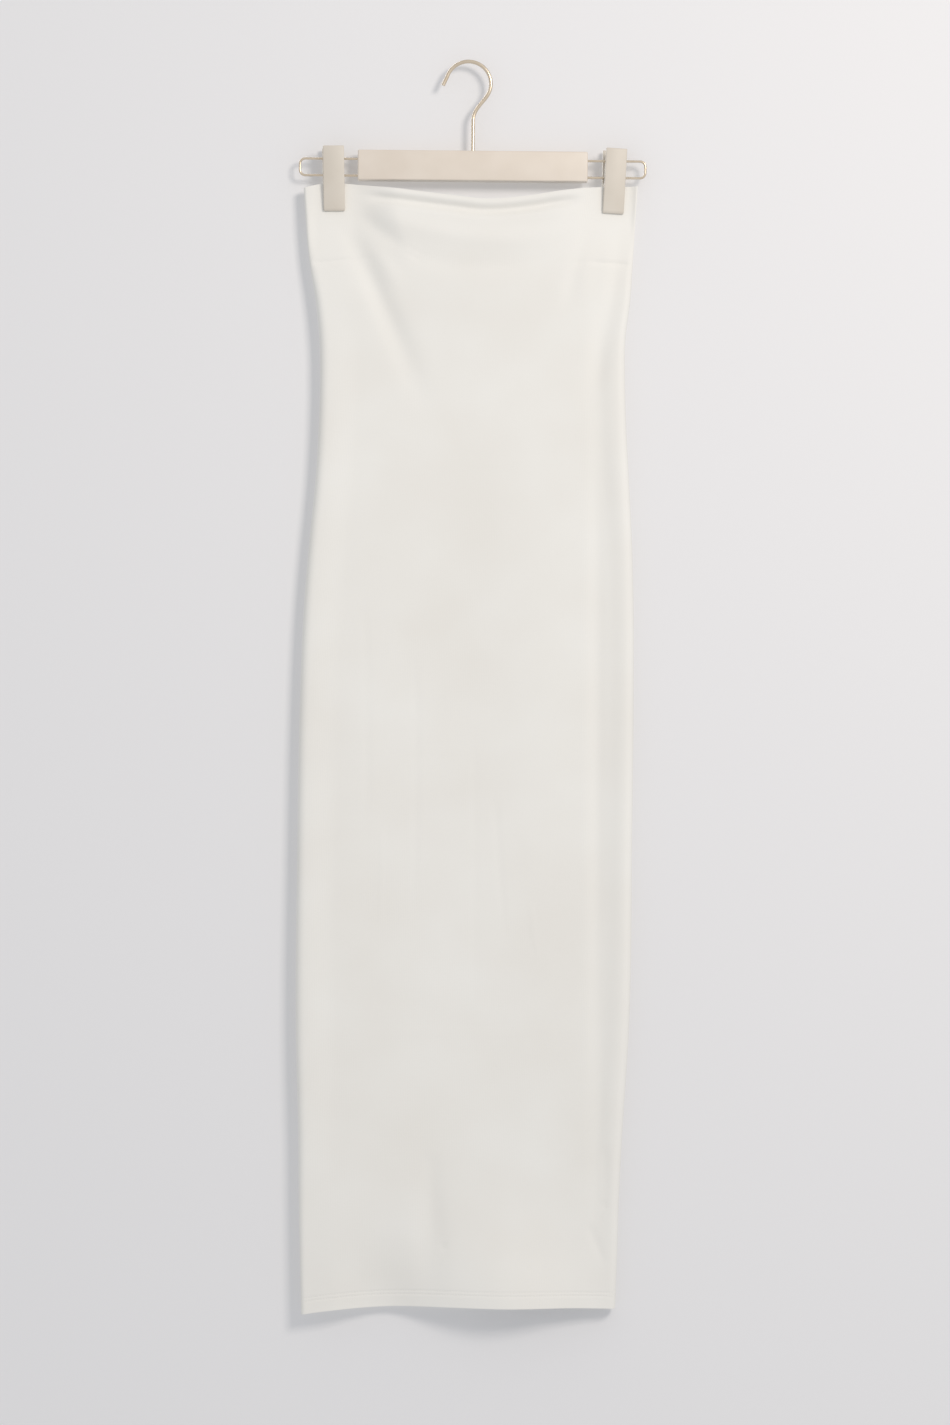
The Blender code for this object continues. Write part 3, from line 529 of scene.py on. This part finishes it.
def colour_ramp(tree, factor, stops):
    """A ramp between sRGB hex colours at the given places."""
    ramp = add_node(tree, "ShaderNodeValToRGB", {"Fac": factor})
    elements = ramp.color_ramp.elements
    while len(elements) < len(stops):
        elements.new(0.5)
    for element, (place, code) in zip(elements, stops):
        element.position = place
        element.color = (*linear(code), 1.0)
    return ramp.outputs["Color"]


def wave_scale(period):
    """Scale of a wave texture whose bands repeat every period, in millimetres, on metre coordinates."""
    return 2 * math.pi / (20 * period * MM)


def double_knit():
    """White double knit: two interlocked faces of fine wales, so a dry, even, slightly napped surface.

    The wales are under a millimetre wide on the real cloth and are drawn coarser, at 1.8 mm, so that
    their soft vertical grain still shows.
    """
    made, tree, shader = new_material(
        "white_double_knit",
        {
            "Roughness": 0.88,
            "Specular IOR Level": 0.25,
            "Sheen Weight": 0.12,
            "Sheen Roughness": 0.45,
        },
    )
    uv = add_node(tree, "ShaderNodeUVMap", uv_map="cloth").outputs["UV"]
    wales = add_node(
        tree,
        "ShaderNodeTexWave",
        {"Vector": uv, "Scale": wave_scale(1.8), "Distortion": 0.4, "Detail": 1.0},
        bands_direction="X",
    )
    courses = add_node(
        tree,
        "ShaderNodeTexWave",
        {"Vector": uv, "Scale": wave_scale(1.5), "Distortion": 0.6, "Detail": 1.0},
        bands_direction="Y",
    )
    loops = add_node(tree, "ShaderNodeMath", {0: wales.outputs["Fac"], 1: courses.outputs["Fac"]})
    nap = add_node(tree, "ShaderNodeTexNoise", {"Vector": uv, "Scale": 420.0, "Detail": 3.0})
    height = add_node(tree, "ShaderNodeMath", {0: loops.outputs["Value"], 1: nap.outputs["Fac"]})
    bump = add_node(
        tree,
        "ShaderNodeBump",
        {"Strength": 0.25, "Distance": 0.05 * MM, "Height": height.outputs["Value"]},
    )
    tree.links.new(bump.outputs["Normal"], shader.inputs["Normal"])
    mottle = add_node(tree, "ShaderNodeTexNoise", {"Vector": uv, "Scale": 9.0, "Detail": 2.0})
    tone = colour_ramp(tree, mottle.outputs["Fac"], ((0.3, "EBE9E4"), (0.7, "EFEEEA")))
    tree.links.new(tone, shader.inputs["Base Color"])
    return made


def sewing_thread():
    """Spun polyester thread, twisted and a touch glossier than the knit."""
    made, tree, shader = new_material(
        "white_spun_thread",
        {"Roughness": 0.6, "Sheen Weight": 0.1, "Base Color": (*linear("F2F1ED"), 1.0)},
    )
    place = add_node(tree, "ShaderNodeTexCoord").outputs["Object"]
    twist = add_node(
        tree,
        "ShaderNodeTexWave",
        {"Vector": place, "Scale": wave_scale(0.5), "Distortion": 1.0},
        bands_direction="DIAGONAL",
    )
    bump = add_node(
        tree,
        "ShaderNodeBump",
        {"Strength": 0.3, "Distance": 0.05 * MM, "Height": twist.outputs["Fac"]},
    )
    tree.links.new(bump.outputs["Normal"], shader.inputs["Normal"])
    return made


def moulded_plastic(name, light, dark, grain):
    """Satin moulded polystyrene: a fine spark-eroded grain that breaks up the gloss."""
    made, tree, shader = new_material(name, {"IOR": 1.55, "Specular IOR Level": 0.5})
    place = add_node(tree, "ShaderNodeTexCoord").outputs["Object"]
    flow = add_node(tree, "ShaderNodeTexNoise", {"Vector": place, "Scale": 28.0, "Detail": 2.0})
    tone = colour_ramp(tree, flow.outputs["Fac"], ((0.3, dark), (0.7, light)))
    tree.links.new(tone, shader.inputs["Base Color"])
    eroded = add_node(
        tree, "ShaderNodeTexNoise", {"Vector": place, "Scale": 1 / (grain * MM), "Detail": 2.0}
    )
    rough = add_node(
        tree,
        "ShaderNodeMapRange",
        {"Value": eroded.outputs["Fac"], "To Min": 0.38, "To Max": 0.5},
    )
    tree.links.new(rough.outputs["Result"], shader.inputs["Roughness"])
    bump = add_node(
        tree,
        "ShaderNodeBump",
        {"Strength": 0.2, "Distance": 0.04 * MM, "Height": eroded.outputs["Fac"]},
    )
    tree.links.new(bump.outputs["Normal"], shader.inputs["Normal"])
    return made


def champagne_wire():
    """Drawn steel wire under a champagne metallic lacquer, bright and smooth, its tone and gloss
    varying a little.
    """
    made, tree, shader = new_material(
        "champagne_lacquered_wire",
        {"Metallic": 0.85, "Coat Weight": 0.35, "Coat Roughness": 0.12},
    )
    place = add_node(tree, "ShaderNodeTexCoord").outputs["Object"]
    cloud = add_node(tree, "ShaderNodeTexNoise", {"Vector": place, "Scale": 60.0, "Detail": 2.0})
    tone = colour_ramp(tree, cloud.outputs["Fac"], ((0.3, "D9C7AF"), (0.7, "E6D8C4")))
    tree.links.new(tone, shader.inputs["Base Color"])
    rough = add_node(
        tree, "ShaderNodeMapRange", {"Value": cloud.outputs["Fac"], "To Min": 0.2, "To Max": 0.3}
    )
    tree.links.new(rough.outputs["Result"], shader.inputs["Roughness"])
    return made


def spring_steel():
    """Plain drawn spring wire, grey and slightly dull."""
    made, tree, shader = new_material("drawn_spring_steel", {"Metallic": 1.0})
    place = add_node(tree, "ShaderNodeTexCoord").outputs["Object"]
    cloud = add_node(tree, "ShaderNodeTexNoise", {"Vector": place, "Scale": 300.0, "Detail": 2.0})
    tone = colour_ramp(tree, cloud.outputs["Fac"], ((0.3, "A9A7A2"), (0.7, "C2C0BB")))
    tree.links.new(tone, shader.inputs["Base Color"])
    rough = add_node(
        tree, "ShaderNodeMapRange", {"Value": cloud.outputs["Fac"], "To Min": 0.3, "To Max": 0.42}
    )
    tree.links.new(rough.outputs["Result"], shader.inputs["Roughness"])
    return made


def finish_piece(piece, material):
    """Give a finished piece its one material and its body."""
    piece.data.materials.clear()
    piece.data.materials.append(material)
    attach(piece, "root")


def apply_modifiers(piece):
    """Apply every modifier on a piece, in order."""
    bpy.context.view_layer.objects.active = piece
    for modifier in list(piece.modifiers):
        bpy.ops.object.modifier_apply(modifier=modifier.name)


def sheet_normals(sheet, toward):
    """Outward unit normals of a grid of points, columns first."""
    across = np.gradient(sheet, axis=0)
    down = np.gradient(sheet, axis=1)
    normals = np.cross(across, down) * toward
    return normals / np.linalg.norm(normals, axis=-1, keepdims=True)


def wall_thickness(sheet, rows):
    """Thickness of the cloth at each point of a panel: thicker where its edges are turned in."""
    x, z = sheet[..., 0], sheet[..., 2]
    below_top = rows[None, :] * DRESS_LENGTH
    above_hem = (1 - rows[None, :]) * DRESS_LENGTH
    turned = 1 - smoothstep((below_top - TOP_TURN) / TURN_FADE)
    held = np.maximum(pinch_weight(x, z, CLIPS[0]), pinch_weight(x, z, CLIPS[1]))
    hemmed = 1 - smoothstep((above_hem - HEM_DEPTH) / TURN_FADE)
    turned = turned * (1 - smoothstep(held * PRESS_RATE))
    return WALL + (HEM_WALL - WALL) * np.maximum(turned, hemmed)


def make_panel(panel, material):
    """One cloth panel: a fine grid on the tube's outer face, its wall inside and its rim rounded."""
    columns = panel_columns(panel)
    rows = panel_rows()
    deselect()
    bpy.ops.mesh.primitive_grid_add(x_subdivisions=len(columns) - 1, y_subdivisions=len(rows) - 1)
    piece = bpy.context.object
    piece.name = f"{panel}_panel"
    sheet = np.array([column_points(panel, column, rows) for column in columns])
    thickness = wall_thickness(sheet, rows)

    mesh = piece.data
    flat = np.empty(len(mesh.vertices) * 3)
    mesh.vertices.foreach_get("co", flat)
    flat = flat.reshape(-1, 3)
    turn = 1 if panel == "front" else -1
    column_of = np.rint((turn * flat[:, 0] + 1) / 2 * (len(columns) - 1)).astype(int)
    row_of = np.rint((1 - flat[:, 1]) / 2 * (len(rows) - 1)).astype(int)
    mesh.vertices.foreach_set("co", (sheet[column_of, row_of] * MM).ravel())

    steps = np.linalg.norm(np.diff(sheet, axis=0), axis=2).mean(axis=1)
    across = np.concatenate([[0.0], np.cumsum(steps)]) * MM
    layer = mesh.uv_layers.active or mesh.uv_layers.new(name="cloth")
    layer.name = "cloth"
    corner = np.empty(len(mesh.loops), dtype=int)
    mesh.loops.foreach_get("vertex_index", corner)
    up = (1 - rows[row_of[corner]]) * DRESS_LENGTH * MM
    places = np.stack([across[column_of[corner]], up], axis=1)
    layer.data.foreach_set("uv", places.ravel())

    group = piece.vertex_groups.new(name="wall")
    for index, share in enumerate(thickness[column_of, row_of] / HEM_WALL):
        group.add([index], float(share), "REPLACE")
    wall = piece.modifiers.new("wall", "SOLIDIFY")
    wall.thickness = HEM_WALL * MM
    wall.offset = -1.0
    wall.vertex_group = group.name
    rim = piece.modifiers.new("rim", "BEVEL")
    rim.width = EDGE_ROUND * MM
    rim.segments = 2
    rim.limit_method = "ANGLE"
    rim.angle_limit = EDGE_ANGLE
    apply_modifiers(piece)
    piece.data.shade_smooth()
    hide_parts(f"dress_{panel}")
    finish_piece(piece, material)
    return piece, sheet


def stitch_form():
    """One stitch lying along X: a short thread, fat in the middle and sinking at its ends."""
    deselect()
    bpy.ops.mesh.primitive_uv_sphere_add(segments=6, ring_count=5, radius=0.5)
    bpy.ops.transform.resize(value=(THREAD, THREAD, STITCH * STITCH_SHARE))
    bpy.ops.object.transform_apply(location=False, rotation=False, scale=True)
    form = bpy.context.object
    points = np.array([vertex.co[:] for vertex in form.data.vertices])[:, [2, 0, 1]]
    faces = [list(face.vertices) for face in form.data.polygons]
    bpy.data.objects.remove(form, do_unlink=True)
    return points, faces


def sew(name, lines, material):
    """Rows of stitches along lines of (points, normals) on the cloth, as one piece."""
    form, form_faces = stitch_form()
    points, faces = [], []
    for line, normals in lines:
        run = np.concatenate([[0.0], np.cumsum(np.linalg.norm(np.diff(line, axis=0), axis=1))])
        count = int(run[-1] / STITCH)
        for step in range(count):
            middle = (step + 0.5) * run[-1] / count
            ends = middle - STITCH / 2, middle, middle + STITCH / 2
            start, at, end = (np.array([np.interp(e, run, line[:, k]) for k in range(3)]) for e in ends)
            up = np.array([np.interp(middle, run, normals[:, k]) for k in range(3)])
            along = (end - start) / np.linalg.norm(end - start)
            side = np.cross(up, along)
            side /= np.linalg.norm(side)
            up = np.cross(along, side)
            turn = np.stack([along, side, up])
            faces += [[vertex + len(points) * len(form) for vertex in face] for face in form_faces]
            points.append(at + up * THREAD * STITCH_STAND + form @ turn)
    mesh = bpy.data.meshes.new(name)
    mesh.from_pydata((np.concatenate(points) * MM).tolist(), [], faces)
    piece = bpy.data.objects.new(name, mesh)
    bpy.context.scene.collection.objects.link(piece)
    piece.data.shade_smooth()
    finish_piece(piece, material)
    return piece


def hem_stitches(panel, sheet, material):
    """The twin-needle rows along a panel's hem."""
    rows = panel_rows()
    normals = sheet_normals(sheet, -1 if panel == "front" else 1)
    lines = []
    for above in (HEM_ROW_LOW, HEM_ROW_HIGH):
        row = int(np.abs((1 - rows) * DRESS_LENGTH - above).argmin())
        lines.append((sheet[:, row], normals[:, row]))
    return sew(f"{panel}_hem_stitches", lines, material)


def arc(centre, radius, start, end, steps):
    """Points round a centre in the XZ plane, between two angles."""
    angles = [start + (end - start) * step / steps for step in range(steps + 1)]
    return [(centre[0] + radius * math.cos(a), 0.0, centre[1] + radius * math.sin(a)) for a in angles]


def bezier(points, steps):
    """Points on a cubic curve, without its first one."""
    found = []
    for step in range(1, steps + 1):
        t = step / steps
        weights = ((1 - t) ** 3, 3 * t * (1 - t) ** 2, 3 * t * t * (1 - t), t**3)
        found.append(tuple(sum(w * p[axis] for w, p in zip(weights, points)) for axis in range(3)))
    return found


def make_wire(name, points, thickness, material, node, matrix=None):
    """A round wire through points, as a mesh that stands for one CAD node."""
    deselect()
    bpy.ops.curve.primitive_bezier_curve_add()
    piece = bpy.context.object
    piece.name = name
    curve = piece.data
    curve.splines.clear()
    curve.bevel_depth = thickness / 2 * MM
    curve.bevel_resolution = 5
    curve.use_fill_caps = True
    spline = curve.splines.new("POLY")
    spline.points.add(len(points) - 1)
    for place, point in zip(spline.points, points):
        place.co = (*[value * MM for value in point], 1.0)
    bpy.ops.object.convert(target="MESH")
    piece = bpy.context.object
    if matrix is not None:
        piece.matrix_world = matrix
    bpy.ops.object.transform_apply(location=True, rotation=True, scale=True)
    bpy.ops.object.mode_set(mode="EDIT")
    bpy.ops.mesh.select_all(action="SELECT")
    bpy.ops.mesh.remove_doubles(threshold=0.01 * MM)
    bpy.ops.object.mode_set(mode="OBJECT")
    bpy.ops.object.shade_smooth_by_angle(angle=math.radians(40))
    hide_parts(node)
    finish_piece(piece, material)
    return piece


def make_hook(material):
    """The wire hook: a flared tip, a round crown, and a neck that swings in over the stem."""
    crown = arc((0.0, HOOK_WIRE / 2 - HOOK_RADIUS), HOOK_RADIUS, HOOK_TIP_ANGLE, 0.0, CROWN_STEPS)
    tip = (crown[0][0] - HOOK_TIP_FLARE, 0.0, HOOK_WIRE / 2 - HOOK_TIP_DROP)
    stem_top = (HANGER_CENTRE_X + HANGER_ROLL * STEM_TOP_Z, 0.0, STEM_TOP_Z)
    foot_z = BAR_CENTRE_Z + BAR_HEIGHT / 2 - STEM_IN_BAR
    stem_foot = (HANGER_CENTRE_X + HANGER_ROLL * foot_z, 0.0, foot_z)
    side = crown[-1]
    below_side = (side[0], 0.0, side[2] - NECK_PULL)
    above_stem = (stem_top[0], 0.0, STEM_TOP_Z + NECK_PULL)
    neck = bezier((side, below_side, above_stem, stem_top), NECK_STEPS)
    points = [tip] + crown + neck + [stem_foot]
    return make_wire("hook_wire", points, HOOK_WIRE, material, "hanger_hook")


def rail_points(side):
    """One clip rail, a loop of wire whose two ends go into the bar."""
    outer = HANGER_CENTRE_X + side * RAIL_HALF_SPAN
    inner = HANGER_CENTRE_X + side * (BAR_LENGTH / 2 - RAIL_IN_BAR)
    turn = outer - side * RAIL_CORNER
    out_angle = 0.0 if side > 0 else math.pi
    quarter = side * math.pi / 2
    top_centre = (turn, RAIL_TOP_Z - RAIL_CORNER)
    low_centre = (turn, RAIL_LOW_Z + RAIL_CORNER)
    top = arc(top_centre, RAIL_CORNER, out_angle + quarter, out_angle, CORNER_STEPS)
    low = arc(low_centre, RAIL_CORNER, out_angle, out_angle - quarter, CORNER_STEPS)
    return [(inner, 0.0, RAIL_TOP_Z)] + top + low + [(inner, 0.0, RAIL_LOW_Z)]


def clip_place(clip):
    """Where a clip sits along the level hanger, so that it hangs at its own x once that is tipped."""
    return clip.x - HANGER_ROLL * RAIL_LOW_Z


def spring_points(clip):
    """The torsion spring's wire: turns round the rail's lower wire, with a leg behind each lever."""
    radius = RAIL_WIRE / 2 + GAP + SPRING_WIRE / 2
    pitch = SPRING_WIRE + GAP
    begin = clip_place(clip) - SPRING_TURNS * pitch / 2
    points = [(begin, -radius - SPRING_LEG_OUT, RAIL_LOW_Z + SPRING_LEG)]
    for step in range(round(SPRING_TURNS * SPRING_TURN_STEPS) + 1):
        turns = step / SPRING_TURN_STEPS
        angle = math.pi + 2 * math.pi * turns
        across = begin + pitch * turns
        points.append((across, radius * math.cos(angle), RAIL_LOW_Z + radius * math.sin(angle)))
    points.append((points[-1][0], radius + SPRING_LEG_OUT, RAIL_LOW_Z + SPRING_LEG))
    return points


def make_bar(material, tilt):
    """The moulded centre bar, its edges rounded."""
    deselect()
    bpy.ops.mesh.primitive_cube_add(size=1.0)
    bar = bpy.context.object
    bar.name = "centre_bar"
    bar.scale = (BAR_LENGTH * MM, BAR_DEPTH * MM, BAR_HEIGHT * MM)
    bpy.ops.object.transform_apply(location=False, rotation=False, scale=True)
    bpy.ops.object.mode_set(mode="EDIT")
    bpy.ops.mesh.select_all(action="SELECT")
    bpy.ops.mesh.bevel(offset=BAR_ROUND * MM, segments=4, affect="EDGES")
    bpy.ops.object.mode_set(mode="OBJECT")
    bar.matrix_world = tilt @ Matrix.Translation(Vector((HANGER_CENTRE_X, 0.0, BAR_CENTRE_Z)) * MM)
    bpy.ops.object.transform_apply(location=True, rotation=True, scale=True)
    bpy.ops.object.shade_smooth_by_angle(angle=math.radians(30))
    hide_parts("hanger_bar")
    finish_piece(bar, material)
    return bar


def jaw_outline(side):
    """Outline of a jaw in its own YZ plane, from the pad's foot up the inside and down the outside."""
    pad = PINCHED + GAP
    inner = [(pad, CLIP_FOOT), (pad, JAW_PAD_TOP)]
    inner += [(PLATE_AT_KNUCKLE, JAW_KNEE_Z), (PLATE_AT_KNUCKLE, JAW_SHOULDER_Z)]
    lever = [(LEVER_INNER_Y, CLIP_TOP), (LEVER_OUTER_Y, CLIP_TOP)]
    belly = [(JAW_BELLY_Y, CLIP_FOOT + JAW_BELLY_RISE), (JAW_FOOT_Y, CLIP_FOOT)]
    return [(side * y, z) for y, z in inner + lever + belly]


def make_jaw(clip, side, material, frame):
    """One jaw: its bent plate with soft corners, and a bored knuckle round the rail."""
    label = "front" if side < 0 else "back"
    outline = jaw_outline(side)
    deselect()
    bpy.ops.mesh.primitive_circle_add(vertices=len(outline), radius=1.0, fill_type="NGON")
    jaw = bpy.context.object
    jaw.name = f"{clip.name}_{label}_jaw"
    for vertex, (y, z) in zip(jaw.data.vertices, outline):
        vertex.co = (-CLIP_WIDTH / 2 * MM, y * MM, z * MM)
    bpy.ops.object.mode_set(mode="EDIT")
    bpy.ops.mesh.select_all(action="SELECT")
    bpy.ops.mesh.extrude_region_move(TRANSFORM_OT_translate={"value": (CLIP_WIDTH * MM, 0.0, 0.0)})
    bpy.ops.mesh.select_all(action="SELECT")
    bpy.ops.mesh.normals_make_consistent(inside=False)
    bpy.ops.mesh.bevel(offset=JAW_ROUND * MM, segments=3, affect="EDGES")
    bpy.ops.object.mode_set(mode="OBJECT")

    middle = side * (KNUCKLE_IN + KNUCKLE_OUT) / 2
    knuckle_depth = (KNUCKLE_OUT - KNUCKLE_IN) * MM
    bpy.ops.mesh.primitive_cylinder_add(
        vertices=KNUCKLE_SIDES, radius=KNUCKLE_RADIUS * MM, depth=knuckle_depth
    )
    knuckle = bpy.context.object
    sideways = Matrix.Rotation(math.pi / 2, 4, "Y")
    knuckle.matrix_world = Matrix.Translation((middle * MM, 0.0, 0.0)) @ sideways
    bpy.ops.object.transform_apply(location=True, rotation=True, scale=True)
    bore_radius = (RAIL_WIRE / 2 + GAP) * MM
    bpy.ops.mesh.primitive_cylinder_add(
        vertices=KNUCKLE_SIDES, radius=bore_radius, depth=CLIP_WIDTH * MM
    )
    bore = bpy.context.object
    bore.matrix_world = sideways
    bpy.ops.object.transform_apply(location=True, rotation=True, scale=True)
    cut = knuckle.modifiers.new("bore", "BOOLEAN")
    cut.operation = "DIFFERENCE"
    cut.object = bore
    apply_modifiers(knuckle)
    bpy.data.objects.remove(bore, do_unlink=True)

    deselect()
    knuckle.select_set(True)
    jaw.select_set(True)
    bpy.context.view_layer.objects.active = jaw
    bpy.ops.object.join()
    jaw.matrix_world = frame
    bpy.ops.object.transform_apply(location=True, rotation=True, scale=True)
    bpy.ops.object.shade_smooth_by_angle(angle=math.radians(35))
    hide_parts(f"{clip.name}_jaw_{label}")
    finish_piece(jaw, material)
    return jaw


def make_clip(clip, tilt, plastic, steel):
    """Both jaws and the spring of one clip."""
    place = Matrix.Translation(Vector((clip_place(clip), 0.0, RAIL_LOW_Z)) * MM)
    turn = Matrix.Rotation(clip.yaw, 4, "Z") @ Matrix.Rotation(clip.lean - HANGER_ROLL, 4, "Y")
    for side in (-1, 1):
        make_jaw(clip, side, plastic, tilt @ place @ turn)
    name = f"{clip.name}_spring"
    make_wire(f"{name}_wire", spring_points(clip), SPRING_WIRE, steel, name, tilt)


def stage_material(name, code):
    """Matt pale paint, seen from its front only so that the other side's views are clear."""
    made, tree, shader = new_material(name, {"Roughness": 0.9, "Base Color": (*linear(code), 1.0)})
    place = add_node(tree, "ShaderNodeTexCoord").outputs["Object"]
    stipple = add_node(tree, "ShaderNodeTexNoise", {"Vector": place, "Scale": 220.0, "Detail": 2.0})
    bump = add_node(
        tree,
        "ShaderNodeBump",
        {"Strength": 0.1, "Distance": 0.1 * MM, "Height": stipple.outputs["Fac"]},
    )
    tree.links.new(bump.outputs["Normal"], shader.inputs["Normal"])
    behind = add_node(tree, "ShaderNodeNewGeometry").outputs["Backfacing"]
    clear = add_node(tree, "ShaderNodeBsdfTransparent").outputs["BSDF"]
    mix = add_node(tree, "ShaderNodeMixShader", {"Fac": behind, 1: shader.outputs["BSDF"], 2: clear})
    tree.links.new(mix.outputs["Shader"], tree.nodes["Material Output"].inputs["Surface"])
    return made


def make_stage():
    """A pale wall close behind the dress and a pale floor below it."""
    wall_height = 2 * ROOM_HALF
    for name, code, place, turn, half in (
        ("pale_wall", "E9E9EB", (0.0, WALL_Y, FLOOR_Z + wall_height / 2), math.pi / 2, ROOM_HALF),
        ("pale_floor", "E6E6E6", (0.0, WALL_Y - ROOM_HALF, FLOOR_Z), 0.0, ROOM_HALF),
    ):
        deselect()
        bpy.ops.mesh.primitive_plane_add(size=2 * half * MM)
        plane = bpy.context.object
        plane.name = name
        plane.location = Vector(place) * MM
        plane.rotation_euler = (turn, 0.0, 0.0)
        bpy.ops.object.transform_apply(location=True, rotation=True, scale=True)
        plane.data.materials.append(stage_material(f"{name}_paint", code))
        plane.visible_diffuse = False
        plane.visible_glossy = False
        plane.visible_shadow = False


def area_light(name, place, aim, size, watts, code):
    """A square soft light at a place, turned towards a point."""
    data = bpy.data.lights.new(name, "AREA")
    data.shape = "SQUARE"
    data.size = size
    data.energy = watts
    data.color = linear(code)
    lamp = bpy.data.objects.new(name, data)
    bpy.context.scene.collection.objects.link(lamp)
    lamp.location = place
    lamp.rotation_mode = "QUATERNION"
    lamp.rotation_quaternion = (Vector(aim) - Vector(place)).to_track_quat("-Z", "Y")


def make_light():
    """Even pale surroundings, a soft key from the upper right and a weak one for the back."""
    world = bpy.data.worlds.new("pale_studio")
    bpy.context.scene.world = world
    world.use_nodes = True
    backdrop = world.node_tree.nodes["Background"]
    backdrop.inputs["Color"].default_value = (*linear("F4F5F7"), 1.0)
    backdrop.inputs["Strength"].default_value = AMBIENT
    key_place = Vector(KEY_AIM) + Vector(KEY_DIRECTION).normalized() * KEY_DISTANCE
    area_light("key_light", key_place, KEY_AIM, KEY_SIZE, KEY_WATTS, "FFF6EC")
    area_light("back_light", BACK_PLACE, BACK_AIM, BACK_SIZE, BACK_WATTS, "FFF9F2")


def make_camera():
    """The photograph's view, square on to the hanger."""
    data = bpy.data.cameras.new("camera")
    data.sensor_width = SENSOR
    data.lens = SENSOR * CAMERA_DISTANCE / (PHOTO_TALL * PIXEL)
    camera = bpy.data.objects.new("camera", data)
    bpy.context.scene.collection.objects.link(camera)
    x = (PHOTO_WIDE / 2 - HOOK_PIXEL_X) * PIXEL
    z = -(PHOTO_TALL / 2 - HOOK_PIXEL_Y) * PIXEL
    camera.location = Vector((x, -CAMERA_DISTANCE, z)) * MM
    camera.rotation_euler = (math.pi / 2, 0.0, 0.0)
    bpy.context.scene.camera = camera


def build():
    """Dress the frame."""
    knit = double_knit()
    thread = sewing_thread()
    bar_plastic = moulded_plastic("beige_moulded_bar", "E4DACE", "DED3C6", 0.8)
    clip_plastic = moulded_plastic("beige_moulded_clip", "D5CEC3", "CEC6BA", 0.8)
    lacquer = champagne_wire()
    steel = spring_steel()

    for panel in ("front", "back"):
        piece, sheet = make_panel(panel, knit)
        stitches = hem_stitches(panel, sheet, thread)

    tilt = Matrix.Rotation(HANGER_ROLL, 4, "Y")
    make_hook(lacquer)
    make_bar(bar_plastic, tilt)
    for label, side in (("left", -1), ("right", 1)):
        node = f"clip_rail_{label}"
        route = rail_points(side)
        make_wire(f"{label}_rail_wire", route, RAIL_WIRE, lacquer, node, tilt)
    for clip in CLIPS:
        make_clip(clip, tilt, clip_plastic, steel)


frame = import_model()
build()
make_stage()
make_light()
make_camera()
bpy.context.scene.view_settings.view_transform = "Standard"
